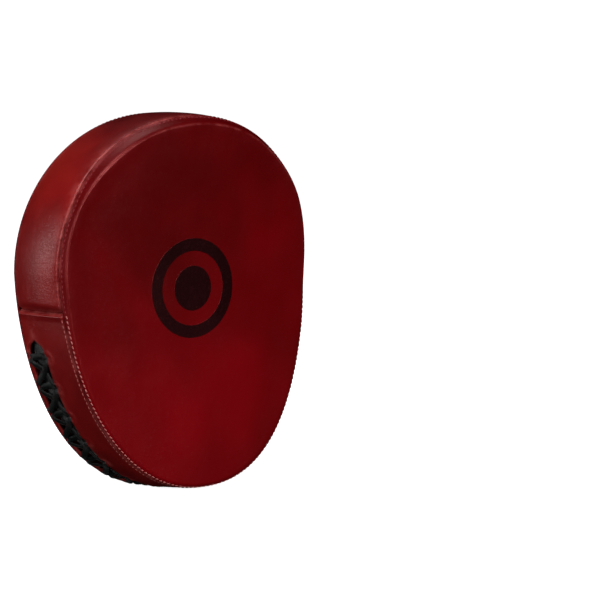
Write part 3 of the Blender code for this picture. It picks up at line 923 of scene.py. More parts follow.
@dataclass
class Egg:
    """Egg outline of the pad: two superellipse halves that meet on the widest line.

    The side wall flares towards the back, the face curves forward at both ends and both ends lean a little.
    """

    half_width: float
    top: float
    bottom: float
    face_y: float
    flare: float = 5.0
    top_flare: float = 1.2
    curve: float = 9.0
    lean: float = 5.0
    top_lean: float = 4.5
    taper: float = 0.016
    widest_share: float = 0.6
    upper_power: float = 2.1
    lower_power: float = 2.15
    side_seam_z: float = 31.0
    samples: int = 900

    def __post_init__(self) -> None:
        """Walk the outline from side seam to side seam, both ways round."""
        self.widest = self.bottom + self.widest_share * (self.top - self.bottom)
        share = (self.widest - self.side_seam_z) / (self.widest - self.bottom)
        dip = math.asin(share ** (self.lower_power / 2.0))
        self.lower = self.walk(HALF + dip, FULL - dip)
        self.upper = self.walk(-dip, HALF + dip)
        self.whole = self.walk(-dip, FULL - dip)

    def point(self, angle: float, inset: float = 0.0) -> tuple[float, float]:
        """Point (x, z) at an angle."""
        if math.sin(angle) >= 0.0:
            x, z = superellipse(angle, self.half_width, self.top - self.widest, self.upper_power, inset)
        else:
            x, z = superellipse(angle, self.half_width, self.widest - self.bottom, self.lower_power, inset)
        return x, z + self.widest

    def flat_spot(self, angle: float, y: float, inset: float = 0.0) -> Vector:
        """Point at an angle, a depth and an inset, before the pad takes its shape."""
        high = ease(self.point(angle)[1], self.widest - 30.0, self.top - 18.0)
        flare = self.flare + (self.top_flare - self.flare) * high
        x, z = self.point(angle, inset + flare * (y / self.face_y - 0.5))
        return Vector((x, y, z))

    def shaped(self, spot: Vector) -> Vector:
        """The same point once the pad is curved, tapered and leaning."""
        low = min(max((self.widest - spot.z) / (self.widest - self.bottom), 0.0), 1.0)
        high = min(max((spot.z - self.widest) / (self.top - self.widest), 0.0), 1.0)
        x = spot.x * (1.0 - 4.0 * self.taper * low * (1.0 - low))
        x += self.lean * low ** 1.5 + self.top_lean * high ** 1.5
        return Vector((x, spot.y * self.stretch(spot.z), spot.z))

    def stretch(self, z: float) -> float:
        """How much deeper the pad is at a height than in its middle."""
        reach = (z - 0.5 * (self.top + self.bottom)) / (0.5 * (self.top - self.bottom))
        return 1.0 - self.curve * reach * reach / self.face_y

    def spot(self, angle: float, y: float, inset: float = 0.0) -> Vector:
        """Point in space at an angle, a depth and an inset."""
        return self.shaped(self.flat_spot(angle, y, inset))

    def out(self, angle: float) -> Vector:
        """Outward normal at an angle."""
        return (self.spot(angle, 0.0, -1.0) - self.spot(angle, 0.0)).normalized()

    def walk(self, start: float, stop: float) -> Track:
        """Track between two angles."""
        angles = [start + (stop - start) * i / self.samples for i in range(self.samples + 1)]
        walked = [0.0]
        for one, two in zip(angles, angles[1:]):
            walked.append(walked[-1] + (self.spot(two, 0.0) - self.spot(one, 0.0)).length)
        return Track(angles, walked)


# ---- striking pad

@dataclass
class StrikingPad:
    """The padded block: face, side wall in two lengths, back, laced slot and their seams."""

    egg: Egg
    face_y: float
    leather: float = 1.8
    seam_depth: tuple[float, float, float] = (2.4, 4.6, 7.8)
    roll: tuple[float, float, float] = (3.2, 3.3, 6.0)
    change_z: tuple[float, float] = (5.0, 45.0)
    crown_z: tuple[float, float] = (95.0, 135.0)
    plain_power: float = 1.9
    groove: float = 2.4
    gap: float = 1.3
    fold: float = 1.3
    crown: float = 1.0
    ripple: float = 0.35
    upper_bulge: float = 3.2
    crown_bulge: float = 1.6
    lower_bulge: float = 1.2
    give: float = 0.8              # share of the filling's swelling that shows on the side wall
    ring_points: int = 260
    flat_rings: int = 24
    upper_stations: int = 150
    lower_stations: int = 220
    slot_y: float = -15.0
    slot_half: float = 8.0
    slot_start: float = 20.5
    slot_taper: float = 11.0
    hole_pitch: float = 22.0
    hole_inset: float = 2.6
    hole_size: float = 2.4

    def blend_up(self, z: float, values: tuple[float, float, float]) -> float:
        """Value that eases from the wrist end's over the sides' to the finger end's."""
        low, side, top = values
        return low + (side - low) * ease(z, *self.change_z) + (top - side) * ease(z, *self.crown_z)

    def seam_y(self, z: float) -> float:
        """Depth of the front seam at a height."""
        return self.face_y + self.blend_up(z, self.seam_depth)

    def upper_swell(self, z: float) -> float:
        """How far the middle of the upper side wall stands out at a height."""
        return self.upper_bulge + (self.crown_bulge - self.upper_bulge) * ease(z, *self.crown_z)

    def bulge(self, z: float) -> float:
        """The same for either length of side wall."""
        return self.lower_bulge if z < self.egg.side_seam_z else self.upper_swell(z)

    def on_wall(self, z: float, from_seam: float) -> float:
        """Inset of a sewn row that lies on the side wall, a distance from one of its seams."""
        share = from_seam / (-self.leather - self.seam_y(z) - self.gap)
        return -self.bulge(z) * (4.0 * share * (1.0 - share)) ** 0.8 - 0.05

    def ripples(self, spot: Vector, size: float = 38.0) -> float:
        """Slow unevenness of hand-filled leather."""
        return self.ripple * noise.noise(spot / size)

    def build(self, shop: Shop) -> None:
        """Build and dress every piece of the pad."""
        filling = self.filling()
        self.face(shop, filling)
        self.upper_side(shop, filling)
        self.lower_side(shop, filling)
        self.back(shop)
        self.tongue(shop)
        self.lace(shop)
        self.seams(shop, filling)

    def filling(self) -> Stuffing:
        """Foam block under the covers, held along both seams."""
        points = []
        for distance in self.egg.whole.even(90)[:-1]:
            angle = self.egg.whole.angle(distance)
            z = self.egg.point(angle)[1]
            points.append(self.egg.spot(angle, self.face_y, self.blend_up(z, self.roll)))
            points.append(self.egg.spot(angle, self.seam_y(z)))
            points.append(self.egg.spot(angle, 0.5 * self.face_y, -self.upper_bulge * ease(z, 15.0, 40.0)))
            points.append(self.egg.spot(angle, -self.leather))
        return Stuffing(points, self.held)

    def held(self, spot: Vector) -> float:
        """How firmly the filling is held: at the back, along the front seam and round the slot."""
        y = spot.y / self.egg.stretch(spot.z)
        if y > -6.0:
            return 1.0
        reach = math.hypot(spot.x / self.egg.half_width, (spot.z - self.egg.widest) /
                           (self.egg.top - self.egg.widest if spot.z > self.egg.widest
                            else self.egg.widest - self.egg.bottom))
        near_seam = 1.0 - ease(abs(y - self.seam_y(spot.z)), 3.0, 9.0)
        at_rim = ease(reach, 0.86, 0.93)
        lower = 1.0 - ease(spot.z, 10.0, 30.0)
        return max(near_seam * at_rim, 0.9 * lower * at_rim)

    # -- face

    def roll_section(self, z: float, share: float) -> tuple[float, float]:
        """Inset and depth of the rolled edge at a share of the way from the flat to the seam.

        The finger end is folded to a crease with a band beside it. The wrist end is simply rounded.
        """
        folded = curve_through(FOLDED_ROLL, 2)
        place = min(share, 1.0) * (len(folded) - 1)
        index = min(int(place), len(folded) - 2)
        crease = folded[index].lerp(folded[index + 1], place - index)
        turn, power = QUARTER * min(share, 1.0), 2.0 / self.plain_power
        plain = Vector((1.0 - math.sin(turn) ** power, 1.0 - max(math.cos(turn), 0.0) ** power))
        mixed = plain.lerp(crease, ease(z, *self.change_z))
        return mixed.x * self.blend_up(z, self.roll), mixed.y * (self.seam_y(z) - self.face_y)

    def face_point(self, angle: float, share: float) -> Vector:
        """Point of the face between its middle (0), the edge of the flat (1) and the seam (2)."""
        z = self.egg.point(angle)[1]
        if share <= 1.0:
            rim = self.egg.flat_spot(angle, self.face_y, self.blend_up(z, self.roll))
            middle = Vector((0.0, self.face_y, 0.5 * (self.egg.top + self.egg.bottom)))
            spot = self.egg.shaped(middle.lerp(rim, share))
            spot.y -= self.crown * (1.0 - share * share) + self.ripples(spot) * (1.0 - share ** 6)
            return spot
        inset, depth = self.roll_section(z, share - 1.0)
        return self.egg.spot(angle, self.face_y + depth, inset)

    def face(self, shop: Shop, filling: Stuffing) -> None:
        """Striking face with its rolled edge, tucked into the seam groove."""
        angles = [self.egg.whole.angle(d) for d in self.egg.whole.even(self.ring_points)[:-1]]
        shares = [0.1 + 0.9 * (index / self.flat_rings) ** 0.85 for index in range(self.flat_rings + 1)]
        steps = 2 * (len(FOLDED_ROLL) - 1)
        shares += [1.0 + index / steps for index in range(1, steps + 1)]
        rows = [[self.face_point(angle, share) for angle in angles] for share in shares]
        for tuck, deeper in ((0.5, 0.25), (1.4, 0.35), (self.groove + 0.6, 0.3)):  # under the side wall's edge
            rows.append([self.egg.spot(a, self.seam_y(self.egg.point(a)[1]) + deeper, tuck) for a in angles])
        count = len(shares)

        def wear_and_sheen(row: int, column: int) -> float:
            """Pale tone along the crease at the finger end, partly a painted highlight on the fold, and wear at
            the seam.
            """
            folded = ease(self.egg.point(angles[column])[1], *self.change_z)
            # Painted highlight: pale tone along the fold's crease.
            crease = 0.4 * bell(row - self.flat_rings - 3.0, 2.0) * folded
            return max(crease, 0.6 * bell(row - count + 1, 2.0))

        bm = skin(rows, closed=True, wear_and_sheen=wear_and_sheen)
        close_disc(bm, lambda edge: edge.calc_length() < 1.0)
        turn_out(bm, Vector((0.0, 0.0, 30.0)))
        filling.push(bm)
        Piece("face_cover", Finish.FACE, "face_leather", replaces=("face_panel",), wall=self.leather,
              fill=0.8).place(bm, shop)

    # -- side wall

    def wall_row(self, angle: float, shares: Sequence[float], bulge: float, drop: float) -> list[Vector]:
        """Points across the side wall, rolled into the groove at both seams.

        Args:
            angle: Where on the outline.
            shares: Places across the wall, from the front seam to the back.
            bulge: How far the middle stands out.
            drop: How far the whole row sinks in.

        Returns:
            The row's points.
        """
        front = self.seam_y(self.egg.point(angle)[1]) + self.gap
        back = -self.leather - 0.5
        row = []
        for share in shares:
            y = front + (back - front) * share
            nearest = min(y - front, back - y)
            rounding = self.groove * (1.0 - ease(nearest, -self.fold, self.fold)) * 2.0
            swell = bulge * (4.0 * share * (1.0 - share)) ** 0.8
            spot = self.egg.spot(angle, y, rounding - swell + drop)
            row.append(spot + self.egg.out(angle) * self.ripples(spot, 26.0))
        return row

    @staticmethod
    def shares(count: int, fold: float = 0.03) -> list[float]:
        """Places across the wall, closer together at its folded edges."""
        edge = [0.0, 0.3 * fold, 0.6 * fold, fold]
        middle = [fold + (1.0 - 2.0 * fold) * i / count for i in range(1, count)]
        return edge + middle + [1.0 - place for place in reversed(edge)]

    def upper_side(self, shop: Shop, filling: Stuffing) -> None:
        """Puffy side wall over the finger end, rounded off at the side seams."""
        track = self.egg.upper
        shares = self.shares(18)
        rows = []
        for distance in self.close_ends(track, self.upper_stations, -1.4):
            to_end = min(distance, track.length - distance)
            rounding = ease(to_end, -3.5, 5.0)
            angle = track.angle(distance)
            bulge = self.upper_swell(self.egg.point(angle)[1]) * (0.35 + 0.65 * rounding)
            rows.append(self.wall_row(angle, shares, bulge, 5.2 * (1.0 - rounding)))
        last, wide = len(rows) - 1, len(shares) - 1

        def wear_and_sheen(row: int, column: int) -> float:
            """Pale tone along both folded edges and at the ends: partly wear, partly painted highlight on the
            folds.
            """
            return max(bell(min(column, wide - column), 3.0), bell(min(row, last - row), 2.5))

        bm = skin(rows, wear_and_sheen=wear_and_sheen)
        turn_out(bm, Vector((0.0, 0.5 * self.face_y, self.egg.widest)))
        filling.push(bm, self.give)
        Piece("upper_side", Finish.SIDE, "gusset_leather", replaces=("upper_gusset", "gusset_padding"),
              wall=self.leather, smooth=1, fill=0.7).place(bm, shop)

    @staticmethod
    def close_ends(track: Track, count: int, start: float) -> list[float]:
        """Even distances along a track, closer together at its ends, which reach past it by the start."""
        extra = [start, start + 0.5, start + 1.1, start + 1.8, start + 2.6, start + 3.5]
        even = [d for d in track.even(count) if extra[-1] + 0.8 < d < track.length - extra[-1] - 0.8]
        return extra + even + [track.length - d for d in reversed(extra)]

    def slot_width(self, distance: float, length: float) -> float:
        """Half width of the slot at a distance along the lower wall, with pointed ends."""
        from_end = min(distance, length - distance) - self.slot_start
        share = min(max(from_end / self.slot_taper, 0.0), 1.0)
        return self.slot_half * (1.0 - (1.0 - share) ** 2.0) ** 0.55

    def holes(self) -> list[float]:
        """Distances of the lace holes along the lower wall."""
        first = self.slot_start + 11.0
        length = self.egg.lower.length
        count = round((length - 2.0 * first) / self.hole_pitch)
        step = (length - 2.0 * first) / count
        return [first + step * index for index in range(count + 1)]

    def pucker(self, distance: float, across: float) -> float:
        """How far the leather is drawn in round the nearest lace hole, with a raised rim."""
        nearest = min(self.holes(), key=lambda hole: abs(hole - distance))
        half = self.slot_width(nearest, self.egg.lower.length) + self.hole_inset
        reach = math.hypot(distance - nearest, abs(across) - half) / self.hole_size
        return 1.7 * bell(reach, 1.0) - 0.75 * bell(reach - 1.6, 0.6)

    def lower_side(self, shop: Shop, filling: Stuffing) -> None:
        """Flatter side wall round the wrist end, open along the laced slot."""
        track = self.egg.lower
        front_steps, back_steps = 14, 8
        rows, dents = [], []
        distances = self.close_ends(track, self.lower_stations, -0.8)
        for distance in distances:
            angle = track.angle(distance)
            half = max(self.slot_width(distance, track.length), 0.25)
            front = self.seam_y(self.egg.point(angle)[1]) + self.gap
            back = -self.leather - 0.5
            span = back - front
            low = (self.slot_y - half - front) / span
            high = (self.slot_y + half - front) / span
            near_slot = 1.4 / span
            first = [share * low for share in self.half_shares(front_steps)] + [low - 0.5 * near_slot, low]
            second = [1.0 - share * (1.0 - high) for share in self.half_shares(back_steps)]
            second = [high, high + 0.5 * near_slot] + list(reversed(second))
            to_end = min(distance, track.length - distance)
            lip = 1.1 * bell(to_end - 1.7, 1.3)
            drop = 2.6 * (1.0 - ease(to_end, -1.2, 1.4)) - lip
            row = self.wall_row(angle, first + second, self.lower_bulge, drop)
            across = [front + span * share - self.slot_y for share in first + second]
            out = self.egg.out(angle)
            gap_side = ease(half, 0.5, 3.0)
            dented = [gap_side * self.pucker(distance, place) for place in across]
            for spot, place, dent in zip(row, across, dented):
                to_edge = abs(abs(place) - half)
                rolled = gap_side * (1.0 - ease(to_edge, 0.0, 1.3))
                lifted = -0.5 * gap_side * bell(to_edge - 2.2, 1.4)
                spot -= out * (rolled + lifted + dent)
            rows.append(row)
            dents.append(dented)
        cut = front_steps + 4
        last, wide = len(rows) - 1, len(rows[0]) - 1

        def wear_and_sheen(row: int, column: int) -> float:
            """Pale tone along the seams, the slot and the side seams, partly wear and partly painted highlight,
            and a painted highlight on the puckers round the lace holes.
            """
            side = bell(min(column, wide - column), 2.5)
            slot = bell(min(abs(column - cut), abs(column - cut - 1)), 1.6)
            end = bell(min(row, last - row), 2.5)
            # Painted highlight on the raised puckers round the lace holes.
            hole = min(abs(dents[row][column]), 1.0)
            return max(side, 0.5 * slot, end, hole)

        bm = skin(rows, wear_and_sheen=wear_and_sheen)
        column = bm.verts.layers.int["column"]
        line = bm.verts.layers.int["line"]
        opened = []
        for face in bm.faces:
            columns = {vert[column] for vert in face.verts}
            lines = [vert[line] for vert in face.verts]
            middle = 0.5 * (distances[min(lines)] + distances[max(lines)])
            if columns == {cut, cut + 1} and self.slot_width(middle, track.length) > 0.25:
                opened.append(face)
        bmesh.ops.delete(bm, geom=opened, context="FACES")
        turn_out(bm, Vector((0.0, 0.5 * self.face_y, 20.0)))
        filling.push(bm, self.give)
        Piece("lower_side", Finish.SIDE, "gusset_leather", replaces=("lower_gusset",), wall=self.leather,
              smooth=1, fill=0.5).place(bm, shop)

    @staticmethod
    def half_shares(count: int) -> list[float]:
        """Places from a folded seam edge towards the slot, closer together at the fold."""
        edge = [0.0, 0.012, 0.025, 0.04, 0.06]
        return edge + [0.06 + 0.9 * (i / count) for i in range(1, count - 1)]

    # -- back, tongue and lace

    def back(self, shop: Shop) -> None:
        """Back panel with a rolled edge tucked into its seam."""
        angles = [self.egg.whole.angle(d) for d in self.egg.whole.even(self.ring_points)[:-1]]
        middle_z = 0.5 * (self.egg.top + self.egg.bottom)
        rows = []
        for step in range(20):
            share = 0.08 + 0.92 * step / 19
            row = []
            for angle in angles:
                rim = self.egg.flat_spot(angle, -0.1, 3.2)
                spot = self.egg.shaped(Vector((0.0, -0.1, middle_z)).lerp(rim, share))
                spot.y += 0.25 * self.ripples(spot) - 0.35 * share ** 8
                row.append(spot)
            rows.append(row)
        for inset, y in ((2.0, -0.6), (1.1, -0.9), (0.4, -1.4), (0.2, -1.9), (0.9, -2.2), (self.groove, -2.4)):
            rows.append([self.egg.spot(angle, y, inset) for angle in angles])
        bm = skin(rows, closed=True, wear_and_sheen=lambda row, _: bell(row - 21, 2.0))
        close_disc(bm, lambda edge: edge.calc_length() < 1.0)
        turn_out(bm, Vector((0.0, -30.0, 30.0)))
        Piece("back_cover", Finish.BACK, "back_leather", replaces=("back_panel",), wall=1.2).place(bm, shop)

    def tongue(self, shop: Shop) -> None:
        """Dark tongue behind the slot, pillowed between the lace's crossings."""
        track = self.egg.lower
        rows = []
        for distance in track.even(200)[4:-4]:
            angle = track.angle(distance)
            pillow = 1.0 + 0.35 * math.cos(FULL * distance / self.hole_pitch)
            places = [-1.0 + step / 6.0 for step in range(13)]
            rows.append([self.egg.spot(angle, self.slot_y + 11.8 * place, 5.6 - (1.0 - place * place) * pillow)
                         for place in places])
        bm = skin(rows)
        turn_out(bm, Vector((0.0, self.slot_y, 20.0)))
        Piece("slot_tongue", Finish.NYLON, "black_fabric", replaces=("lace_tongue",), wall=1.2).place(bm, shop)

    def lace(self, shop: Shop) -> None:
        """Flat lace that crosses itself between pairs of holes, with a bar at each pair."""
        holes = self.holes()
        length = self.egg.lower.length
        bm = bmesh.new()
        for index, hole in enumerate(holes):
            reach = self.slot_width(hole, length) + self.hole_inset
            self.strand(bm, hole, hole, reach, reach, -2.4, -0.2)
            if index + 1 < len(holes):
                after = self.slot_width(holes[index + 1], length) + self.hole_inset
                self.strand(bm, hole + 0.6, holes[index + 1] - 0.6, reach, after, -0.6, 0.9)
                self.strand(bm, holes[index + 1] - 0.6, hole + 0.6, after, reach, -1.7, 0.9)
        Piece("slot_lace", Finish.LACE, "lace", replaces=("side_lace",)).place(bm, shop)

    def strand(self, bm: BMesh, start: float, stop: float, reach: float, reach_after: float,
               middle_height: float, edge_height: float) -> None:
        """Add one crossing of the lace, from a hole in front to a hole behind.

        Args:
            bm: The lace's mesh.
            start: Distance of the hole in front.
            stop: Distance of the hole behind.
            reach: How far the first hole is from the slot's middle.
            reach_after: How far the second hole is from it.
            middle_height: Height over the leather in the middle of the slot.
            edge_height: Height over the leather at the slot's edges.
        """
        rise = ((0.0, -3.2), (0.03, -1.2), (0.1, edge_height), (0.24, 0.6 * edge_height))
        stations = (*rise, (0.5, middle_height), *((1.0 - share, height) for share, height in reversed(rise)))
        points, normals = [], []
        for share, height in stations:
            angle = self.egg.lower.angle(start + (stop - start) * share)
            across = -reach + (reach + reach_after) * share
            points.append(self.egg.spot(angle, self.slot_y + across, -height))
            normals.append(self.egg.out(angle))
        join(bm, ribbon(smooth_route(points, normals, 4), 2.3, 0.75))

    # -- seams

    def seam_path(self, track: Track, y: Callable[[float], float], inset: Callable[[float], float], tilt: float,
                  margin: float = 0.0) -> Path:
        """Path of a sewn row along the outline.

        Args:
            track: The stretch of outline.
            y: Depth at a height.
            inset: Distance inside the outline at a height.
            tilt: Share of the normal that looks out of the face instead of the side.
            margin: Length left bare at both ends.

        Returns:
            The points with their normals.
        """
        path: Path = []
        for index in range(self.ring_points + 1):
            angle = track.angle(margin + (track.length - 2.0 * margin) * index / self.ring_points)
            z = self.egg.point(angle)[1]
            out = self.egg.out(angle)
            normal = (out * (1.0 - abs(tilt)) + -HANDWARD * tilt).normalized()
            path.append((self.egg.spot(angle, y(z), inset(z)), normal))
        return path

    def face_seam(self, track: Track, distance_in: float) -> Path:
        """Path on the face at a distance in from its seam, following the roll."""
        path: Path = []
        for index in range(321):
            angle = track.angle(track.length * index / 320)
            z = self.egg.point(angle)[1]
            reach = math.hypot(self.blend_up(z, self.roll), self.seam_y(z) - self.face_y)
            share = 2.0 - min(distance_in / reach, 0.9)
            spot = self.face_point(angle, share)
            along = self.face_point(angle, share + 0.04) - self.face_point(angle, share - 0.04)
            ahead = self.face_point(angle + 0.01, share) - spot
            normal = along.cross(ahead).normalized()
            if normal.dot(self.egg.out(angle) - HANDWARD) < 0.0:
                normal = -normal
            path.append((spot, normal))
        return path

    def seams(self, shop: Shop, filling: Stuffing) -> None:
        """Sewn rows along both seams: bold on the face, finer on the side wall and the back, with a dark strip
        of painted shade in the front seam's groove.
        """
        bold = Stitch(2.5, 0.95, 0.7, 3.3, 0.06, slant=0.22)
        fine = Stitch(2.3, 0.6, pitch=3.3, lift=0.06)
        face, roll = self.face_seam(self.egg.lower, 1.3), self.face_seam(self.egg.upper, 1.1)
        self.sewn(shop, "face_stitching", Finish.THREAD, bold, [face], filling)
        self.sewn(shop, "roll_stitching", Finish.DARK_THREAD, fine, [roll], filling)
        # Dark strip laid in the groove between face and side wall: painted shade for the seam's valley.
        seam_shade = self.seam_path(self.egg.whole, lambda z: self.seam_y(z) + 0.8, lambda z: 1.9, 0.3)
        Piece("seam_shade_strip", Finish.SEAM_SHADE, "black_leather").place(ribbon(seam_shade, 1.5, 1.0), shop)
        front, upper = (self.seam_path(track, lambda z: self.seam_y(z) + self.gap + 1.4,
                                       lambda z: self.on_wall(z, 1.4), 0.1, margin)
                        for track, margin in ((self.egg.lower, 3.0), (self.egg.upper, 4.0)))
        back_edge = self.seam_path(self.egg.whole, lambda z: -4.2, lambda z: self.on_wall(z, 1.9), -0.05)
        rim = self.seam_path(self.egg.whole, lambda z: -0.75, lambda z: 2.6, -0.85)
        self.sewn(shop, "side_stitching", Finish.THREAD, fine, [front], filling)
        self.sewn(shop, "upper_stitching", Finish.DARK_THREAD, fine, [upper], filling)
        self.sewn(shop, "back_stitching", Finish.DARK_THREAD, fine, [back_edge, rim], filling)

    def sewn(self, shop: Shop, name: str, finish: Finish, stitch: Stitch, paths: Sequence[Path],
             filling: Stuffing) -> None:
        """Make one piece of sewn rows on the pad."""
        bm = bmesh.new()
        for path in paths:
            stitch.sew(bm, path)
        filling.push(bm, self.give)
        Piece(name, finish, "gusset_leather").place(bm, shop)


# ---- hand side

@dataclass(frozen=True)
class Arch:
    """Arch over the back panel, with its length in the panel's plane."""

    half_width: float
    height: float
    power: float
    centre: tuple[float, float] = (0.0, 0.0)
    lean: float = 0.0

    def point(self, turn: float, along: float, inset: float = 0.0) -> Vector:
        """Point over the arch at an angle and a distance along its length."""
        across, up = superellipse(turn, self.half_width, self.height, self.power, inset)
        return self.lay(across, max(up, 0.0), along)

    def lay(self, across: float, up: float, along: float) -> Vector:
        """Point at a place across, a height and a distance along."""
        x = self.centre[0] + across * math.cos(self.lean) + along * math.sin(self.lean)
        z = self.centre[1] - across * math.sin(self.lean) + along * math.cos(self.lean)
        return Vector((x, up, z))

    def out(self, turn: float) -> Vector:
        """Outward normal at an angle."""
        return (self.point(turn, 0.0, -1.0) - self.point(turn, 0.0)).normalized()

    def turns(self, first: float, last: float, count: int) -> list[float]:
        """Angles that split the arch between two angles in degrees into even lengths."""
        fine = [math.radians(first + (last - first) * i / 300) for i in range(301)]
        walked = [0.0]
        for one, two in zip(fine, fine[1:]):
            walked.append(walked[-1] + (self.point(two, 0.0) - self.point(one, 0.0)).length)
        track = Track(fine, walked)
        return [track.angle(distance) for distance in track.even(count)]


@dataclass
class FingerHood:
    """Padded hood over the fingers: cover with sewn channels, lining and bound mouth."""

    arch: Arch
    mouth_z: float
    dome_z: float
    dome_length: float
    flange: float = 7.0
    sewn_y: float = 1.3
    layers: float = 8.4
    channels: tuple[float, ...] = (-0.36, 0.36)
    channel_depth: float = 2.4
    channel_width: float = 3.0
    arch_steps: int = 26
    dome_steps: int = 48
    straight_steps: int = 22
    binding_half: float = 4.9
    binding_length: float = 7.0

    def profile(self, inset: float, with_flange: bool) -> list[tuple[float, float]]:
        """Half section (reach, height) from the sewn flange up to the crown."""
        points = []
        base = self.arch.half_width
        if with_flange:
            points += [(base + self.flange * share, self.sewn_y + lift) for share, lift in (
                (1.0, -0.9), (0.98, -0.1), (0.9, 0.3), (0.62, 0.35), (0.36, 0.1), (0.16, 0.0), (0.04, 0.5))]
        else:
            points.append((base - inset, 0.5))
        for turn in self.arch.turns(6.0, 90.0, self.arch_steps):
            across, up = superellipse(turn, base, self.arch.height, self.arch.power, inset)
            points.append((abs(across), up))
        return points

    def rows(self, inset: float, with_flange: bool) -> list[list[Vector]]:
        """Rows of the hood from one side of the mouth round the dome to the other."""
        profile = self.profile(inset, with_flange)
        side = self.arch.half_width - inset
        dome = self.dome_length - inset
        heights = [self.mouth_z + (self.dome_z - self.mouth_z) * step / self.straight_steps
                   for step in range(self.straight_steps)]
        rows = [[Vector((reach, y, z)) for reach, y in profile] for z in heights]
        for step in range(self.dome_steps + 1):
            turn = HALF * step / self.dome_steps
            row = []
            for reach, y in profile:
                ahead = reach * dome / side if reach <= side else dome + reach - side
                row.append(Vector((reach * math.cos(turn), y, self.dome_z + ahead * math.sin(turn))))
            rows.append(row)
        return rows + [[Vector((-reach, y, z)) for reach, y in profile] for z in reversed(heights)]

    def build(self, shop: Shop) -> None:
        """Build and dress the hood."""
        filling = self.filling()
        self.cover(shop, filling)
        self.lining(shop)
        self.binding(shop)
        self.stitching(shop, filling)

    def filling(self) -> Stuffing:
        """Foam of the hood, held at its base and its mouth."""
        points = [point for row in self.rows(0.0, False)[::3] for point in row]

        def held(spot: Vector) -> float:
            """Held along the back panel and at the mouth."""
            return max(1.0 - ease(spot.y, 3.0, 9.0), 1.0 - ease(spot.z - self.mouth_z, 3.0, 12.0))

        return Stuffing(points, held, voxel=5.0, pressure=48.0, cap=2.0)

    def channel_drop(self, spot: Vector) -> float:
        """How far the sewn channels draw the cover in at a point."""
        drop = 0.0
        fade = ease(spot.y, 10.0, 20.0) * (1.0 - ease(spot.z, self.dome_z + 14.0, self.dome_z + 32.0))
        for share in self.channels:
            across = (spot.x - share * self.arch.half_width) / self.channel_width
            drop += self.channel_depth * bell(across, 1.0)
        return drop * fade

    def cover(self, shop: Shop, filling: Stuffing) -> None:
        """Leather cover with its sewn flange and channels."""
        rows = self.rows(0.0, True)
        bm = skin(rows, wear_and_sheen=lambda _, column: bell(column - 1, 2.5))
        bmesh.ops.remove_doubles(bm, verts=bm.verts, dist=0.02)
        turn_out(bm, Vector((0.0, 0.0, self.dome_z)))
        filling.push(bm)
        bm.normal_update()
        for vert in bm.verts:
            spot = vert.co.copy()
            uneven = 0.3 * noise.noise(spot / 17.0) * ease(spot.y, 3.0, 9.0)
            vert.co -= vert.normal * (self.channel_drop(spot) + uneven)
        Piece("hood_shell", Finish.BACK, "back_leather", replaces=("hood_cover",), wall=1.8, smooth=1,
              fill=0.7).place(bm, shop)

    def lining(self, shop: Shop) -> None:
        """Woven lining under the foam."""
        bm = skin(self.rows(self.layers - 1.0, False))
        bmesh.ops.remove_doubles(bm, verts=bm.verts, dist=0.02)
        turn_out(bm, Vector((0.0, 0.0, self.dome_z)))
        Piece("hood_inside", Finish.LINING, "black_fabric", replaces=("hood_lining",), wall=0.9).place(bm, shop)

    def binding(self, shop: Shop) -> None:
        """Leather tape folded round the mouth, sewn through."""
        middle = 0.5 * self.layers
        rows = []
        section = ((1.0, 0.0), (1.02, -0.35), (0.95, -0.75), (0.6, -1.0), (0.0, -1.06), (-0.6, -1.0),
                   (-0.95, -0.75), (-1.02, -0.35), (-1.0, 0.0))
        for turn in self.arch.turns(2.0, 178.0, 80):
            row = []
            for across, along in section:
                point = self.arch.point(turn, 0.0, middle - across * self.binding_half)
                z = self.mouth_z + self.binding_length * (0.62 + along)
                row.append(Vector((point.x, max(point.y, 0.6), z)))
            rows.append(row)
        bm = skin(rows, wear_and_sheen=lambda _, column: 1.0 - abs(column - 4) / 4.0)
        turn_out(bm, Vector((0.0, 0.4 * self.arch.height, self.mouth_z + 60.0)))
        Piece("hood_edge", Finish.BLACK, "black_leather", replaces=("hood_binding",), wall=0.7, wall_side=0.0,
              smooth=2).place(bm, shop)

    def stitching(self, shop: Shop, filling: Stuffing) -> None:
        """Sewn rows round the flange, down the channels and along the binding."""
        bm = bmesh.new()
        fine = Stitch(height=0.55)
        for share in (0.72, 0.42):
            reach = self.arch.half_width + self.flange * share
            fine.sew(bm, [(spot, HANDWARD) for spot in self.flange_line(reach)])
        for share in self.channels:
            path: Path = []
            x = share * self.arch.half_width
            for step in range(40):
                z = self.mouth_z + 5.0 + (self.dome_z + 16.0 - self.mouth_z) * step / 39
                stretch = max(z - self.dome_z, 0.0) / self.dome_length
                scale = math.sqrt(max(1.0 - stretch * stretch, 0.05))
                up = self.crown_height(x / scale)
                path.append((Vector((x, up - self.channel_depth + 0.6, z)), HANDWARD))
            channel = bmesh.new()
            fine.sew(channel, path)
            filling.push(channel)
            join(bm, channel)
        mouth: Path = []
        for turn in self.arch.turns(2.0, 178.0, 60)[2:-2]:
            point = self.arch.point(turn, 0.0, -1.0)
            mouth.append((Vector((point.x, max(point.y, 1.0), self.mouth_z + 2.4)), self.arch.out(turn)))
        fine.sew(bm, mouth)
        Piece("hood_stitching", Finish.DARK_THREAD, "back_leather").place(bm, shop)

    def crown_height(self, x: float) -> float:
        """Height of the arch over a place across it."""
        share = min(abs(x) / self.arch.half_width, 0.999)
        return self.arch.height * (1.0 - share ** self.arch.power) ** (1.0 / self.arch.power)

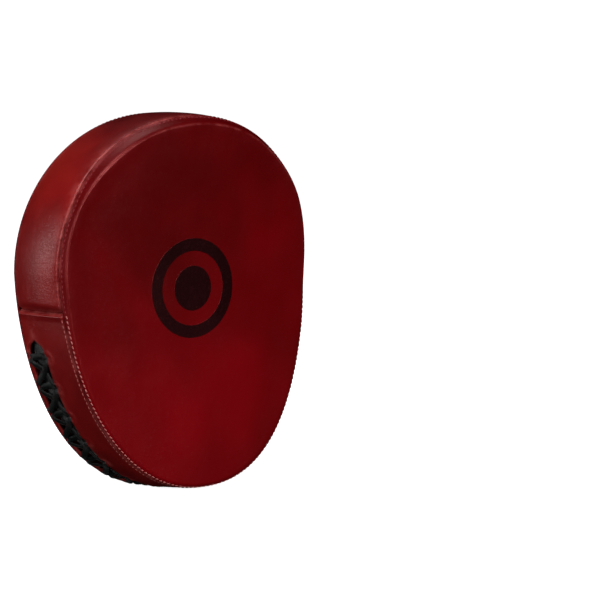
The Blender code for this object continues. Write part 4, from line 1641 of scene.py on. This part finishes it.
    def flange_line(self, reach: float) -> list[Vector]:
        """Points on the sewn flange round the hood."""
        y = self.sewn_y + 0.35
        straight = self.dome_z - self.mouth_z - 2.0
        side = [Vector((reach, y, self.mouth_z + 2.0 + straight * step / 24)) for step in range(24)]
        ahead = self.dome_length + reach - self.arch.half_width
        dome = [Vector((reach * math.cos(turn), y, self.dome_z + ahead * math.sin(turn)))
                for turn in (HALF * step / 60 for step in range(61))]
        return side + dome + [Vector((-p.x, p.y, p.z)) for p in reversed(side)]


@dataclass
class ThumbSleeve:
    """Half tunnel for the thumb, lined and bound at both ends."""

    arch: Arch
    half_length: float = 15.0
    flange: float = 4.5
    sewn_y: float = 1.3
    lining_inset: float = 2.4
    binding_half: float = 2.1

    def section(self, inset: float, with_flange: bool, count: int = 36) -> list[tuple[float, float]]:
        """Points (across, height) over the tunnel."""
        side = self.arch.half_width - inset
        arch = []
        for turn in self.arch.turns(8.0, 172.0, count):
            arch.append(superellipse(turn, self.arch.half_width, self.arch.height, self.arch.power, inset))
        foot = [(side, 0.6)]
        if with_flange:
            reach = self.arch.half_width
            foot = [(reach + self.flange * share, self.sewn_y + lift) for share, lift in
                    ((1.0, -0.9), (0.96, -0.1), (0.8, 0.3), (0.4, 0.15), (0.1, 0.2))]
        return foot + arch + [(-across, up) for across, up in reversed(foot)]

    def build(self, shop: Shop) -> None:
        """Build and dress the sleeve."""
        rows = []
        for step in range(17):
            along = -self.half_length + 2.0 * self.half_length * step / 16
            swell = 0.9 * (1.0 - (along / self.half_length) ** 2)
            rows.append([self.arch.lay(across, up + swell * ease(up, 2.0, 14.0), along)
                         for across, up in self.section(0.0, True)])
        last = len(rows[0]) - 1
        bm = skin(rows, wear_and_sheen=lambda _, column: bell(min(column, last - column), 2.5))
        centre = self.arch.lay(0.0, 0.0, 0.0)
        turn_out(bm, centre)
        for vert in bm.verts:
            vert.co.y += 0.35 * noise.noise(vert.co / 11.0) * ease(vert.co.y, 3.0, 10.0)
        Piece("thumb_shell", Finish.BACK, "back_leather", replaces=("thumb_sleeve",), wall=1.7, smooth=1,
              fill=0.5).place(bm, shop)
        section = self.section(self.lining_inset, False)
        bm = skin([[self.arch.lay(across, up, -self.half_length + 2.0 * self.half_length * step / 8)
                    for across, up in section] for step in range(9)])
        turn_out(bm, centre)
        Piece("thumb_inside", Finish.LINING, "black_fabric", replaces=("thumb_lining",),
              wall=0.8).place(bm, shop)
        self.bindings(shop)
        self.stitching(shop)

    def bindings(self, shop: Shop) -> None:
        """Folded tape round both ends of the tunnel."""
        bm = bmesh.new()
        for side in (-1.0, 1.0):
            path: Path = []
            for turn in self.arch.turns(3.0, 177.0, 44):
                spot = self.arch.point(turn, side * self.half_length, 1.7)
                spot.y = max(spot.y, 1.0)
                path.append((spot, self.arch.out(turn)))
            join(bm, ribbon(path, 2.6, self.binding_half, 12))
        Piece("thumb_edges", Finish.BLACK, "black_leather",
              replaces=("thumb_binding_lower", "thumb_binding_upper")).place(bm, shop)

    def stitching(self, shop: Shop) -> None:
        """Sewn rows on both flanges."""
        bm = bmesh.new()
        fine = Stitch(2.3, 0.6, pitch=3.3)
        for side in (-1.0, 1.0):
            across = side * (self.arch.half_width + 0.62 * self.flange)
            path = [(self.arch.lay(across, self.sewn_y + 0.25, -self.half_length + 1.5 + step),
                     HANDWARD) for step in range(int(2.0 * self.half_length) - 2)]
            fine.sew(bm, path)
        Piece("thumb_stitching", Finish.DARK_THREAD, "back_leather").place(bm, shop)


def rounded_outline(low: Vector, high: Vector, radius: float, y: float, steps: int = 10) -> list[Vector]:
    """Rounded rectangle in the panel's plane."""
    points = []
    for right, top, start in ((1, 1, 0), (0, 1, 1), (0, 0, 2), (1, 0, 3)):
        x = high.x - radius if right else low.x + radius
        z = high.z - radius if top else low.z + radius
        for step in range(steps + 1):
            turn = QUARTER * (start + step / steps)
            points.append(Vector((x + radius * math.cos(turn), y, z + radius * math.sin(turn))))
    return points


def soft_sheet(outline: Sequence[Vector], high: float) -> BMesh:
    """Thin sheet with a softened edge over an outline."""
    centre = sum(outline, Vector()) / len(outline)
    rows = []
    for inset, y in ((0.0, 0.3), (0.0, high - 0.35), (0.25, high - 0.08), (0.7, high)):
        rows.append([point + (centre - point).normalized() * inset + HANDWARD * (y - point.y)
                     for point in outline])
    for share in (0.1, 0.25, 0.45, 0.7, 0.9):
        rows.append([point.lerp(centre + HANDWARD * (high - centre.y), share) for point in rows[3]])
    bm = skin(rows, closed=True, wear_and_sheen=lambda row, _: bell(row - 2, 1.2))
    close_up(bm)
    return bm


@dataclass
class Palm:
    """Palm patch, finger bed and the grip ball sewn between them."""

    patch: tuple[Vector, Vector]
    bed: tuple[Vector, Vector]
    ball: tuple[Vector, Vector]
    corner: float = 10.0
    flange: float = 4.0

    def build(self, shop: Shop) -> None:
        """Build and dress the palm side."""
        low, high = self.patch
        outline = rounded_outline(low, high, self.corner, low.y)
        Piece("palm_sheet", Finish.BLACK, "black_leather", replaces=("palm_patch",)).place(
            soft_sheet(outline, high.y + 0.4), shop)
        stitching = bmesh.new()
        fine = Stitch(lift=0.05)
        rim = Vector((2.6, 0.0, 2.6))
        sewn = rounded_outline(low + rim, high - rim, self.corner - 2.0, high.y + 0.4)
        fine.sew(stitching, [(point, HANDWARD) for point in sewn], closed=True)
        self.finger_bed(shop)
        self.grip_ball(shop, stitching)
        Piece("palm_stitching", Finish.BLACK_THREAD, "black_leather").place(stitching, shop)

    def finger_bed(self, shop: Shop) -> None:
        """Woven bed under the fingers."""
        low, high = self.bed
        half, dome = high.x, high.z - DOME_Z
        outline = [Vector((half, 0.3, low.z))]
        outline += [Vector((half * math.cos(turn), 0.3, DOME_Z + dome * math.sin(turn)))
                    for turn in (HALF * step / 40 for step in range(41))]
        outline.append(Vector((-half, 0.3, low.z)))
        Piece("finger_sheet", Finish.LINING, "black_fabric", replaces=("finger_bed",)).place(
            soft_sheet(outline, high.y), shop)

    def grip_ball(self, shop: Shop, stitching: BMesh) -> None:
        """Stuffed grip ball with a seam over its crown and a sewn flange."""
        low, high = self.ball
        centre = (low + high) / 2.0
        wide = 0.5 * (high.x - low.x) - self.flange
        deep = 0.5 * (high.z - low.z) - self.flange * 0.75
        base, crown = low.y + 0.7, high.y

        def spot(turn: float, rise: float, grow: float = 0.0) -> Vector:
            """Point of the dome at a bearing and a height angle."""
            flat = math.cos(rise)
            return Vector((centre.x + (wide + grow) * math.cos(turn) * flat,
                           base + (crown - base) * math.sin(rise),
                           centre.z + (deep + grow) * math.sin(turn) * flat))

        bearings = [FULL * i / 96 for i in range(96)]
        form = [spot(t, QUARTER * r / 8) for t in bearings[::4] for r in range(9)]
        form += [spot(t, 0.0) - HANDWARD * 0.6 for t in bearings[::4]]
        filling = Stuffing(form, lambda p: 1.0 - ease(p.y, base, base + 3.0), voxel=4.0, pressure=3500.0,
                           cap=1.5)
        rows = [[spot(t, 0.0, self.flange * share) + HANDWARD * lift for t in bearings]
                for share, lift in (
                    (1.0, -0.6), (0.97, 0.1), (0.85, 0.4), (0.5, 0.3), (0.18, 0.1), (0.04, 0.4))]
        rows += [[spot(t, QUARTER * (0.08 + 0.9 * r / 16)) for t in bearings] for r in range(17)]
        bm = skin(rows, closed=True, wear_and_sheen=lambda row, _: bell(row - 2, 2.0))
        close_disc(bm, lambda edge: edge.verts[0].co.y > base + 3.0)
        turn_out(bm, centre - HANDWARD * 8.0)
        filling.push(bm)
        bm.normal_update()
        for vert in bm.verts:
            seam = 0.9 * bell(vert.co.z - centre.z, 1.3) * ease(vert.co.y, base + 2.0, base + 6.0)
            vert.co -= vert.normal * seam
        Piece("ball_shell", Finish.BACK, "back_leather", replaces=("palm_ball_cover",), wall=1.2, smooth=1,
              fill=0.9).place(bm, shop)
        fine = Stitch(2.2, 0.6, pitch=3.1)
        rim = [(spot(t, 0.0, 0.6 * self.flange) + HANDWARD * 0.35, HANDWARD) for t in bearings]
        fine.sew(stitching, rim, closed=True)


@dataclass
class WristClosure:
    """Strap that wraps over the inner flap and holds on it by hook and loop."""

    arch: Arch
    low_z: float
    high_z: float
    roots: dict[str, tuple[Vector, Vector]]
    strap: float = 3.0
    patch: float = 1.2
    gap: float = 0.3
    flap: float = 3.0
    peel: float = 110.0
    tip: float = 30.0
    flap_end: float = 116.0
    hooks: tuple[float, float] = (44.0, 86.0)
    loops: tuple[float, float] = (38.0, 108.0)
    margin: float = 4.0

    def band(self, inset: float, thick: float, first: float, last: float, steps: int, margin: float = 0.0,
             round_first: float = 0.0, round_last: float = 0.0, puff: float = 0.0,
             thin_root: bool = False) -> BMesh:
        """Closed band over the arch with softened edges.

        Args:
            inset: Depth of its outer face inside the strap's.
            thick: Its thickness.
            first: Angle in degrees at its start.
            last: Angle in degrees at its end.
            steps: Number of parts along the arch.
            margin: How much narrower it is on each side.
            round_first: How far its start is rounded in at the corners.
            round_last: The same at its end.
            puff: How far the middle of its outer face stands out.
            thin_root: Whether it thins towards its end, where it rises from its sewn root.

        Returns:
            The mesh of the band.
        """
        low, high = self.low_z + margin, self.high_z - margin
        middle, half = 0.5 * (low + high), 0.5 * (high - low)
        edge = min(0.5 * thick, 0.9)
        section = [(-1.0, 0.5), (-1.0 + 0.3 * edge / half, 0.14), (-1.0 + edge / half, 0.0)]
        section += [(-1.0 + edge / half + (2.0 - 2.0 * edge / half) * i / 12, 0.0) for i in range(1, 12)]
        section += [(-across, depth) for across, depth in reversed(section[:3])]
        section += [(across, 1.0 - depth) for across, depth in reversed(section[1:-1])]
        rows = []
        turns = self.arch.turns(first, last, steps)
        length = 2.0 * half
        for index, turn in enumerate(turns):
            width = half
            for corner, place in ((round_first, index), (round_last, steps - index)):
                if corner:
                    reach = min(place * length / (steps * 0.5) / corner, 1.0)
                    width = min(width, half - corner * (1.0 - math.sqrt(1.0 - (1.0 - reach) ** 2)))
            row = []
            stuffed = ease(steps - index, 4.0, 10.0) if thin_root else 1.0
            for across, depth in section:
                swell = (puff * stuffed * (1.0 - across ** 4) - 0.4 * (1.0 - stuffed)) * (1.0 - depth)
                spot = self.arch.point(turn, 0.0, inset + thick * depth - swell)
                row.append(Vector((spot.x, spot.y, middle + across * width)))
            rows.append(row)
        count = len(section)

        def wear_and_sheen(row: int, column: int) -> float:
            """Wear on the band's edges and ends."""
            side = bell(min(abs(column - 1), abs(column - 15), abs(column - count)), 1.3)
            return max(side, bell(min(row, steps - row), 1.5))

        bm = skin(rows, closed=True, wear_and_sheen=wear_and_sheen)
        close_up(bm)
        return bm

    def edge_rows(self, bm: BMesh, stitch: Stitch, inset: float, first: float, last: float,
                  margin: float) -> None:
        """Sew a row along both long edges and across the ends of a band."""
        for z in (self.low_z + margin, self.high_z - margin):
            stitch.sew(bm, [(self.arch.point(turn, 0.0, inset) + UPWARD * z, self.arch.out(turn))
                            for turn in self.arch.turns(first, last, 60)])
        for angle in (first, last):
            turn = math.radians(angle)
            spot = self.arch.point(turn, 0.0, inset)
            stitch.sew(bm, [(spot + UPWARD * z, self.arch.out(turn))
                            for z in (self.low_z + margin + 1.5, self.high_z - margin - 1.5)])

    def around_peel(self) -> tuple[Vector, Vector]:
        """Points just before and after the line where the strap peels."""
        start, end = (self.arch.point(math.radians(self.peel + spread), 0.0) for spread in (6.0, -6.0))
        return start, end

    def build(self, shop: Shop) -> None:
        """Build and dress the strap, the flap and their patches."""
        fine = Stitch(lift=0.08)
        hook_inset = self.strap + self.gap
        loop_inset = hook_inset + self.patch + self.gap
        flap_inset = loop_inset + self.patch + self.gap
        start, end = self.around_peel()
        bend = ("strap", "strap_tail", start, end)
        strap = self.band(0.0, self.strap, self.tip, 173.5, 90, round_first=9.0, puff=0.7, thin_root=True)
        Piece("strap_shell", Finish.BACK, "back_leather", replaces=("strap_band", "strap_end"), blend=bend,
              fill=0.4).place(strap, shop)
        sewing = bmesh.new()
        self.edge_rows(sewing, fine, -0.15, self.tip + 6.0, 169.0, 3.0)
        Piece("strap_stitching", Finish.DARK_THREAD, "back_leather", blend=bend).place(sewing, shop)
        tab = self.band(0.5, 2.0, 17.0, 30.0, 16, margin=8.0, round_first=4.0)
        Piece("tab", Finish.BLACK, "black_leather", "strap_tail", replaces=("pull_tab",)).place(tab, shop)
        hooks = self.band(hook_inset, self.patch, *self.hooks, 40, margin=self.margin)
        join(hooks, self.hook_rows(hook_inset + self.patch))
        Piece("hooks", Finish.HOOKS, "hook_and_loop", "strap_tail", replaces=("hook_patch",)).place(hooks, shop)
        loops = self.band(loop_inset, self.patch, *self.loops, 60, margin=self.margin)
        for vert in loops.verts:
            vert.co += 0.12 * noise.noise_vector(vert.co / 1.7)
        Piece("loops", Finish.LOOPS, "hook_and_loop", "flap", replaces=("loop_patch",)).place(loops, shop)
        flap = self.band(flap_inset, self.flap, 7.0, self.flap_end, 80, round_last=8.0, puff=0.25)
        Piece("flap_shell", Finish.BACK, "back_leather", "flap", replaces=("inner_flap",),
              fill=0.4).place(flap, shop)
        sewing = bmesh.new()
        self.edge_rows(sewing, fine, flap_inset - 0.1, 14.0, self.flap_end - 5.0, 2.2)
        Piece("flap_stitching", Finish.DARK_THREAD, "back_leather", "flap").place(sewing, shop)
        self.root(shop, "strap", 180.0, 0.0)
        self.root(shop, "flap", 0.0, flap_inset)

    def hook_rows(self, inset: float) -> BMesh:
        """Rows of small hooks on the inner side of the strap's patch."""
        bm = bmesh.new()
        turns = self.arch.turns(self.hooks[0] + 1.5, self.hooks[1] - 1.5, 18)
        for number, turn in enumerate(turns):
            inward = -self.arch.out(turn)
            base = self.arch.point(turn, 0.0, inset - 0.05)
            tilt = UPWARD.rotation_difference(inward).to_matrix().to_4x4()
            for step in range(17):
                z = self.low_z + self.margin + 1.8 + step * 1.5 + 0.75 * (number % 2)
                spot = Matrix.Translation(base + UPWARD * z + inward * 0.12)
                bmesh.ops.create_cone(bm, cap_ends=True, segments=5, radius1=0.32, radius2=0.14, depth=0.25,
                                      matrix=spot @ tilt)
        return bm

    def root(self, shop: Shop, name: str, angle: float, inset: float) -> None:
        """Sewn end of the strap or the flap and the fold that rises from it.

        Args:
            shop: Where the materials are kept.
            name: The moving body, strap or flap.
            angle: Which foot of the arch, 0 or 180 degrees.
            inset: Depth of the band's outer face.
        """
        low, high = self.roots[name]
        side = -1.0 if angle else 1.0
        foot = self.arch.half_width - inset
        Piece(f"{name}_foot", Finish.BACK, "back_leather", replaces=(f"{name}_root",)).place(
            soft_sheet(rounded_outline(low, high, 2.5, low.y, 6), high.y), shop)
        middle, half = 0.5 * (self.low_z + self.high_z), 0.5 * (self.high_z - self.low_z) - 0.8
        section = ((foot + 5.5, high.y - 0.2), (foot + 3.0, high.y + 0.5), (foot + 1.0, high.y + 0.9),
                   (foot + 0.35, high.y + 2.2), (foot + 0.3, high.y + 4.0), (foot + 0.1, high.y + 6.0))
        rows = [[Vector((side * x, y, middle + half * (-1.0 + step / 10))) for step in range(21)]
                for x, y in section]
        bm = skin(rows, wear_and_sheen=lambda row, _: bell(row - 2, 1.2))
        turn_out(bm, Vector((0.0, 0.0, middle)))
        start = Vector((side * (foot + 3.0), high.y, middle))
        end = Vector((side * foot, high.y + 4.5, middle))
        Piece(f"{name}_fold", Finish.BACK, "back_leather", wall=1.0, smooth=1,
              blend=("pad", name, start, end)).place(bm, shop)
        sewing = bmesh.new()
        fine = Stitch(2.3, 0.6, pitch=3.3)
        for x in (low.x + 1.8, high.x - 1.8):
            if side * x > foot + 1.0:
                ends = (self.low_z + 2.0, self.high_z - 2.0)
                fine.sew(sewing, [(Vector((x, high.y, z)), HANDWARD) for z in ends])
        Piece(f"{name}_foot_stitching", Finish.DARK_THREAD, "back_leather").place(sewing, shop)


# ---- studio

@dataclass
class Softbox:
    """One rectangular soft light."""

    name: str
    place: tuple[float, float, float]
    aim: tuple[float, float, float]
    size: tuple[float, float]
    power: float

    def hang(self) -> None:
        """Put the light in the scene, aimed at its point."""
        data = bpy.data.lights.new(self.name, "AREA")
        data.shape = "RECTANGLE"
        data.size, data.size_y = self.size
        data.energy = self.power
        lamp = stand(self.name, data)
        lamp.location = self.place
        lamp.rotation_euler = (Vector(self.aim) - Vector(self.place)).to_track_quat("-Z", "Y").to_euler()


@dataclass
class Studio:
    """Pale floor and backdrop, soft lights and the camera."""

    floor_z: float
    subject: Vector
    turn: float = math.radians(-36.5)
    rise: float = math.radians(6.7)
    roll: float = math.radians(-1.2)
    distance: float = 1.43
    focal_share: float = 3.584
    aside: tuple[float, float] = (0.0505, 0.0020)
    sensor: float = 36.0

    def build(self, shop: Shop) -> None:
        """Set the floor, the lights and the camera."""
        self.backdrop(shop)
        self.lights()
        self.camera()

    def backdrop(self, shop: Shop) -> None:
        """Floor that curves up into a backdrop far behind."""
        paper = Matt("pale_paper", tone(250, 250, 250), tone(246, 246, 246), scale=3.0, roughness=0.9,
                     specular=0.0, depth=0.0, glow=0.97)
        rows = []
        for x in (-9.0, 9.0):
            row = [Vector((x, -7.0, 0.0)), Vector((x, 5.0, 0.0))]
            for step in range(1, 13):
                bend = QUARTER * step / 12
                row.append(Vector((x, 5.0 + 2.0 * math.sin(bend), 2.0 - 2.0 * math.cos(bend))))
            row.append(Vector((x, 7.0, 8.0)))
            rows.append([point + UPWARD * self.floor_z for point in row])
        bm = skin(rows)
        turn_out(bm, Vector((0.0, 5.0, -20.0)))
        mesh = bpy.data.meshes.new("backdrop")
        bm.to_mesh(mesh)
        bm.free()
        mesh.shade_smooth()
        mesh.materials.append(paper.make(shop.effects))
        sweep = stand("backdrop", mesh)
        sweep.visible_glossy = False
        sweep.visible_diffuse = False
        sweep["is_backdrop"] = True

    def lights(self) -> None:
        """Soft lights round the mitt and a dim surround."""
        aim = tuple(self.subject)
        boxes = (
            Softbox("key", (0.0, -2.1, 0.62), aim, (0.35, 0.5), 27.0),
            Softbox("top_front", (-0.75, -1.15, 1.85), aim, (0.9, 0.5), 29.0),
            Softbox("left_front", (-1.9, -1.0, 0.35), aim, (0.9, 0.9), 18.0),
            Softbox("left_back", (-1.88, 1.15, 0.12), aim, (0.3, 1.3), 15.0),
            Softbox("high_back", (0.1, 0.75, 2.4), aim, (1.0, 1.0), 8.0),
        )
        for box in boxes:
            box.hang()
        world = bpy.data.worlds.new("studio")
        bpy.context.scene.world = world
        world.use_nodes = True
        back = world.node_tree.nodes["Background"]
        back.inputs["Color"].default_value = (1.0, 1.0, 1.0, 1.0)
        back.inputs["Strength"].default_value = 0.12
        world.cycles_visibility.glossy = False
        bpy.context.scene.view_settings.view_transform = "Standard"

    def camera(self) -> None:
        """Long lens from the front left, turned so that the mitt stands left of the middle."""
        back = Vector((math.sin(self.turn) * math.cos(self.rise), -math.cos(self.turn) * math.cos(self.rise),
                       math.sin(self.rise)))
        right = Vector((math.cos(self.turn), math.sin(self.turn), 0.0))
        up = back.cross(right)
        tilted_right = right * math.cos(self.roll) + up * math.sin(self.roll)
        tilted_up = up * math.cos(self.roll) - right * math.sin(self.roll)
        look = (-back + tilted_right * self.aside[0] + tilted_up * self.aside[1]).normalized()
        side = look.cross(tilted_up).normalized()
        data = bpy.data.cameras.new("camera")
        data.sensor_width = self.sensor
        data.lens = self.focal_share * self.sensor
        camera = stand("camera", data)
        turned = Matrix((side, side.cross(look), -look)).transposed().to_4x4()
        camera.matrix_world = Matrix.Translation(self.subject + back * self.distance) @ turned
        bpy.context.scene.camera = camera


# ---- the mitt

@dataclass
class Mitt:
    """The whole mitt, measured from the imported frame."""

    nodes: dict[str, Object]
    thumb_lean: float = math.radians(30.0)
    thumb_flange: float = 4.5

    @staticmethod
    def box(node: str) -> tuple[Vector, Vector]:
        """Corners of a frame node in millimetres."""
        low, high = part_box(node)
        return low / MM, high / MM

    def build(self, shop: Shop) -> None:
        """Build the pad, the hand side and the wrist closure, and dress the filling."""
        low, high = self.box("back_panel")
        face_y = self.box("face_panel")[0].y
        StrikingPad(Egg(high.x, high.z, low.z, face_y), face_y).build(shop)
        self.hood().build(shop)
        self.thumb().build(shop)
        Palm(self.box("palm_patch"), self.box("finger_bed"), self.box("palm_ball_cover")).build(shop)
        self.wrist().build(shop)
        for name in ("face_foam", "core_foam", "back_foam", "hood_foam", "palm_ball_core"):
            shop.dress(self.nodes[name], Finish.FOAM)
        shop.dress(self.nodes["firm_sheet"], Finish.BOARD)

    def hood(self) -> FingerHood:
        """Finger hood in the frame's place."""
        low, high = self.box("hood_cover")
        flange = 7.0
        arch = Arch(high.x - flange, high.y, 2.5)
        return FingerHood(arch, low.z, DOME_Z, high.z - flange - DOME_Z, flange)

    def thumb(self) -> ThumbSleeve:
        """Thumb sleeve in the frame's place."""
        low, high = self.box("thumb_sleeve")
        centre = (low + high) / 2.0
        arch = Arch(16.0, high.y, 2.2, (centre.x, centre.z), self.thumb_lean)
        return ThumbSleeve(arch, flange=self.thumb_flange)

    def wrist(self) -> WristClosure:
        """Wrist closure in the frame's place."""
        low, _ = self.box("strap_band")
        _, high = self.box("strap_end")
        arch = Arch(-low.x, high.y, 2.3)
        roots = {"strap": self.box("strap_root"), "flap": self.box("flap_root")}
        return WristClosure(arch, low.z, high.z, roots)


def main() -> None:
    """Build everything round the frame."""
    logging.basicConfig(level=logging.INFO, format="%(name)s: %(message)s")
    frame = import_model()
    frame_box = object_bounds()
    shop = Shop()
    Mitt(frame["nodes"]).build(shop)
    low, high = frame_box
    pad_low, pad_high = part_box("face_panel")
    subject = Vector((0.0, pad_low.y, 0.5 * (pad_low.z + pad_high.z)))
    Studio(low[2], subject).build(shop)


if __name__ == "__main__":
    main()
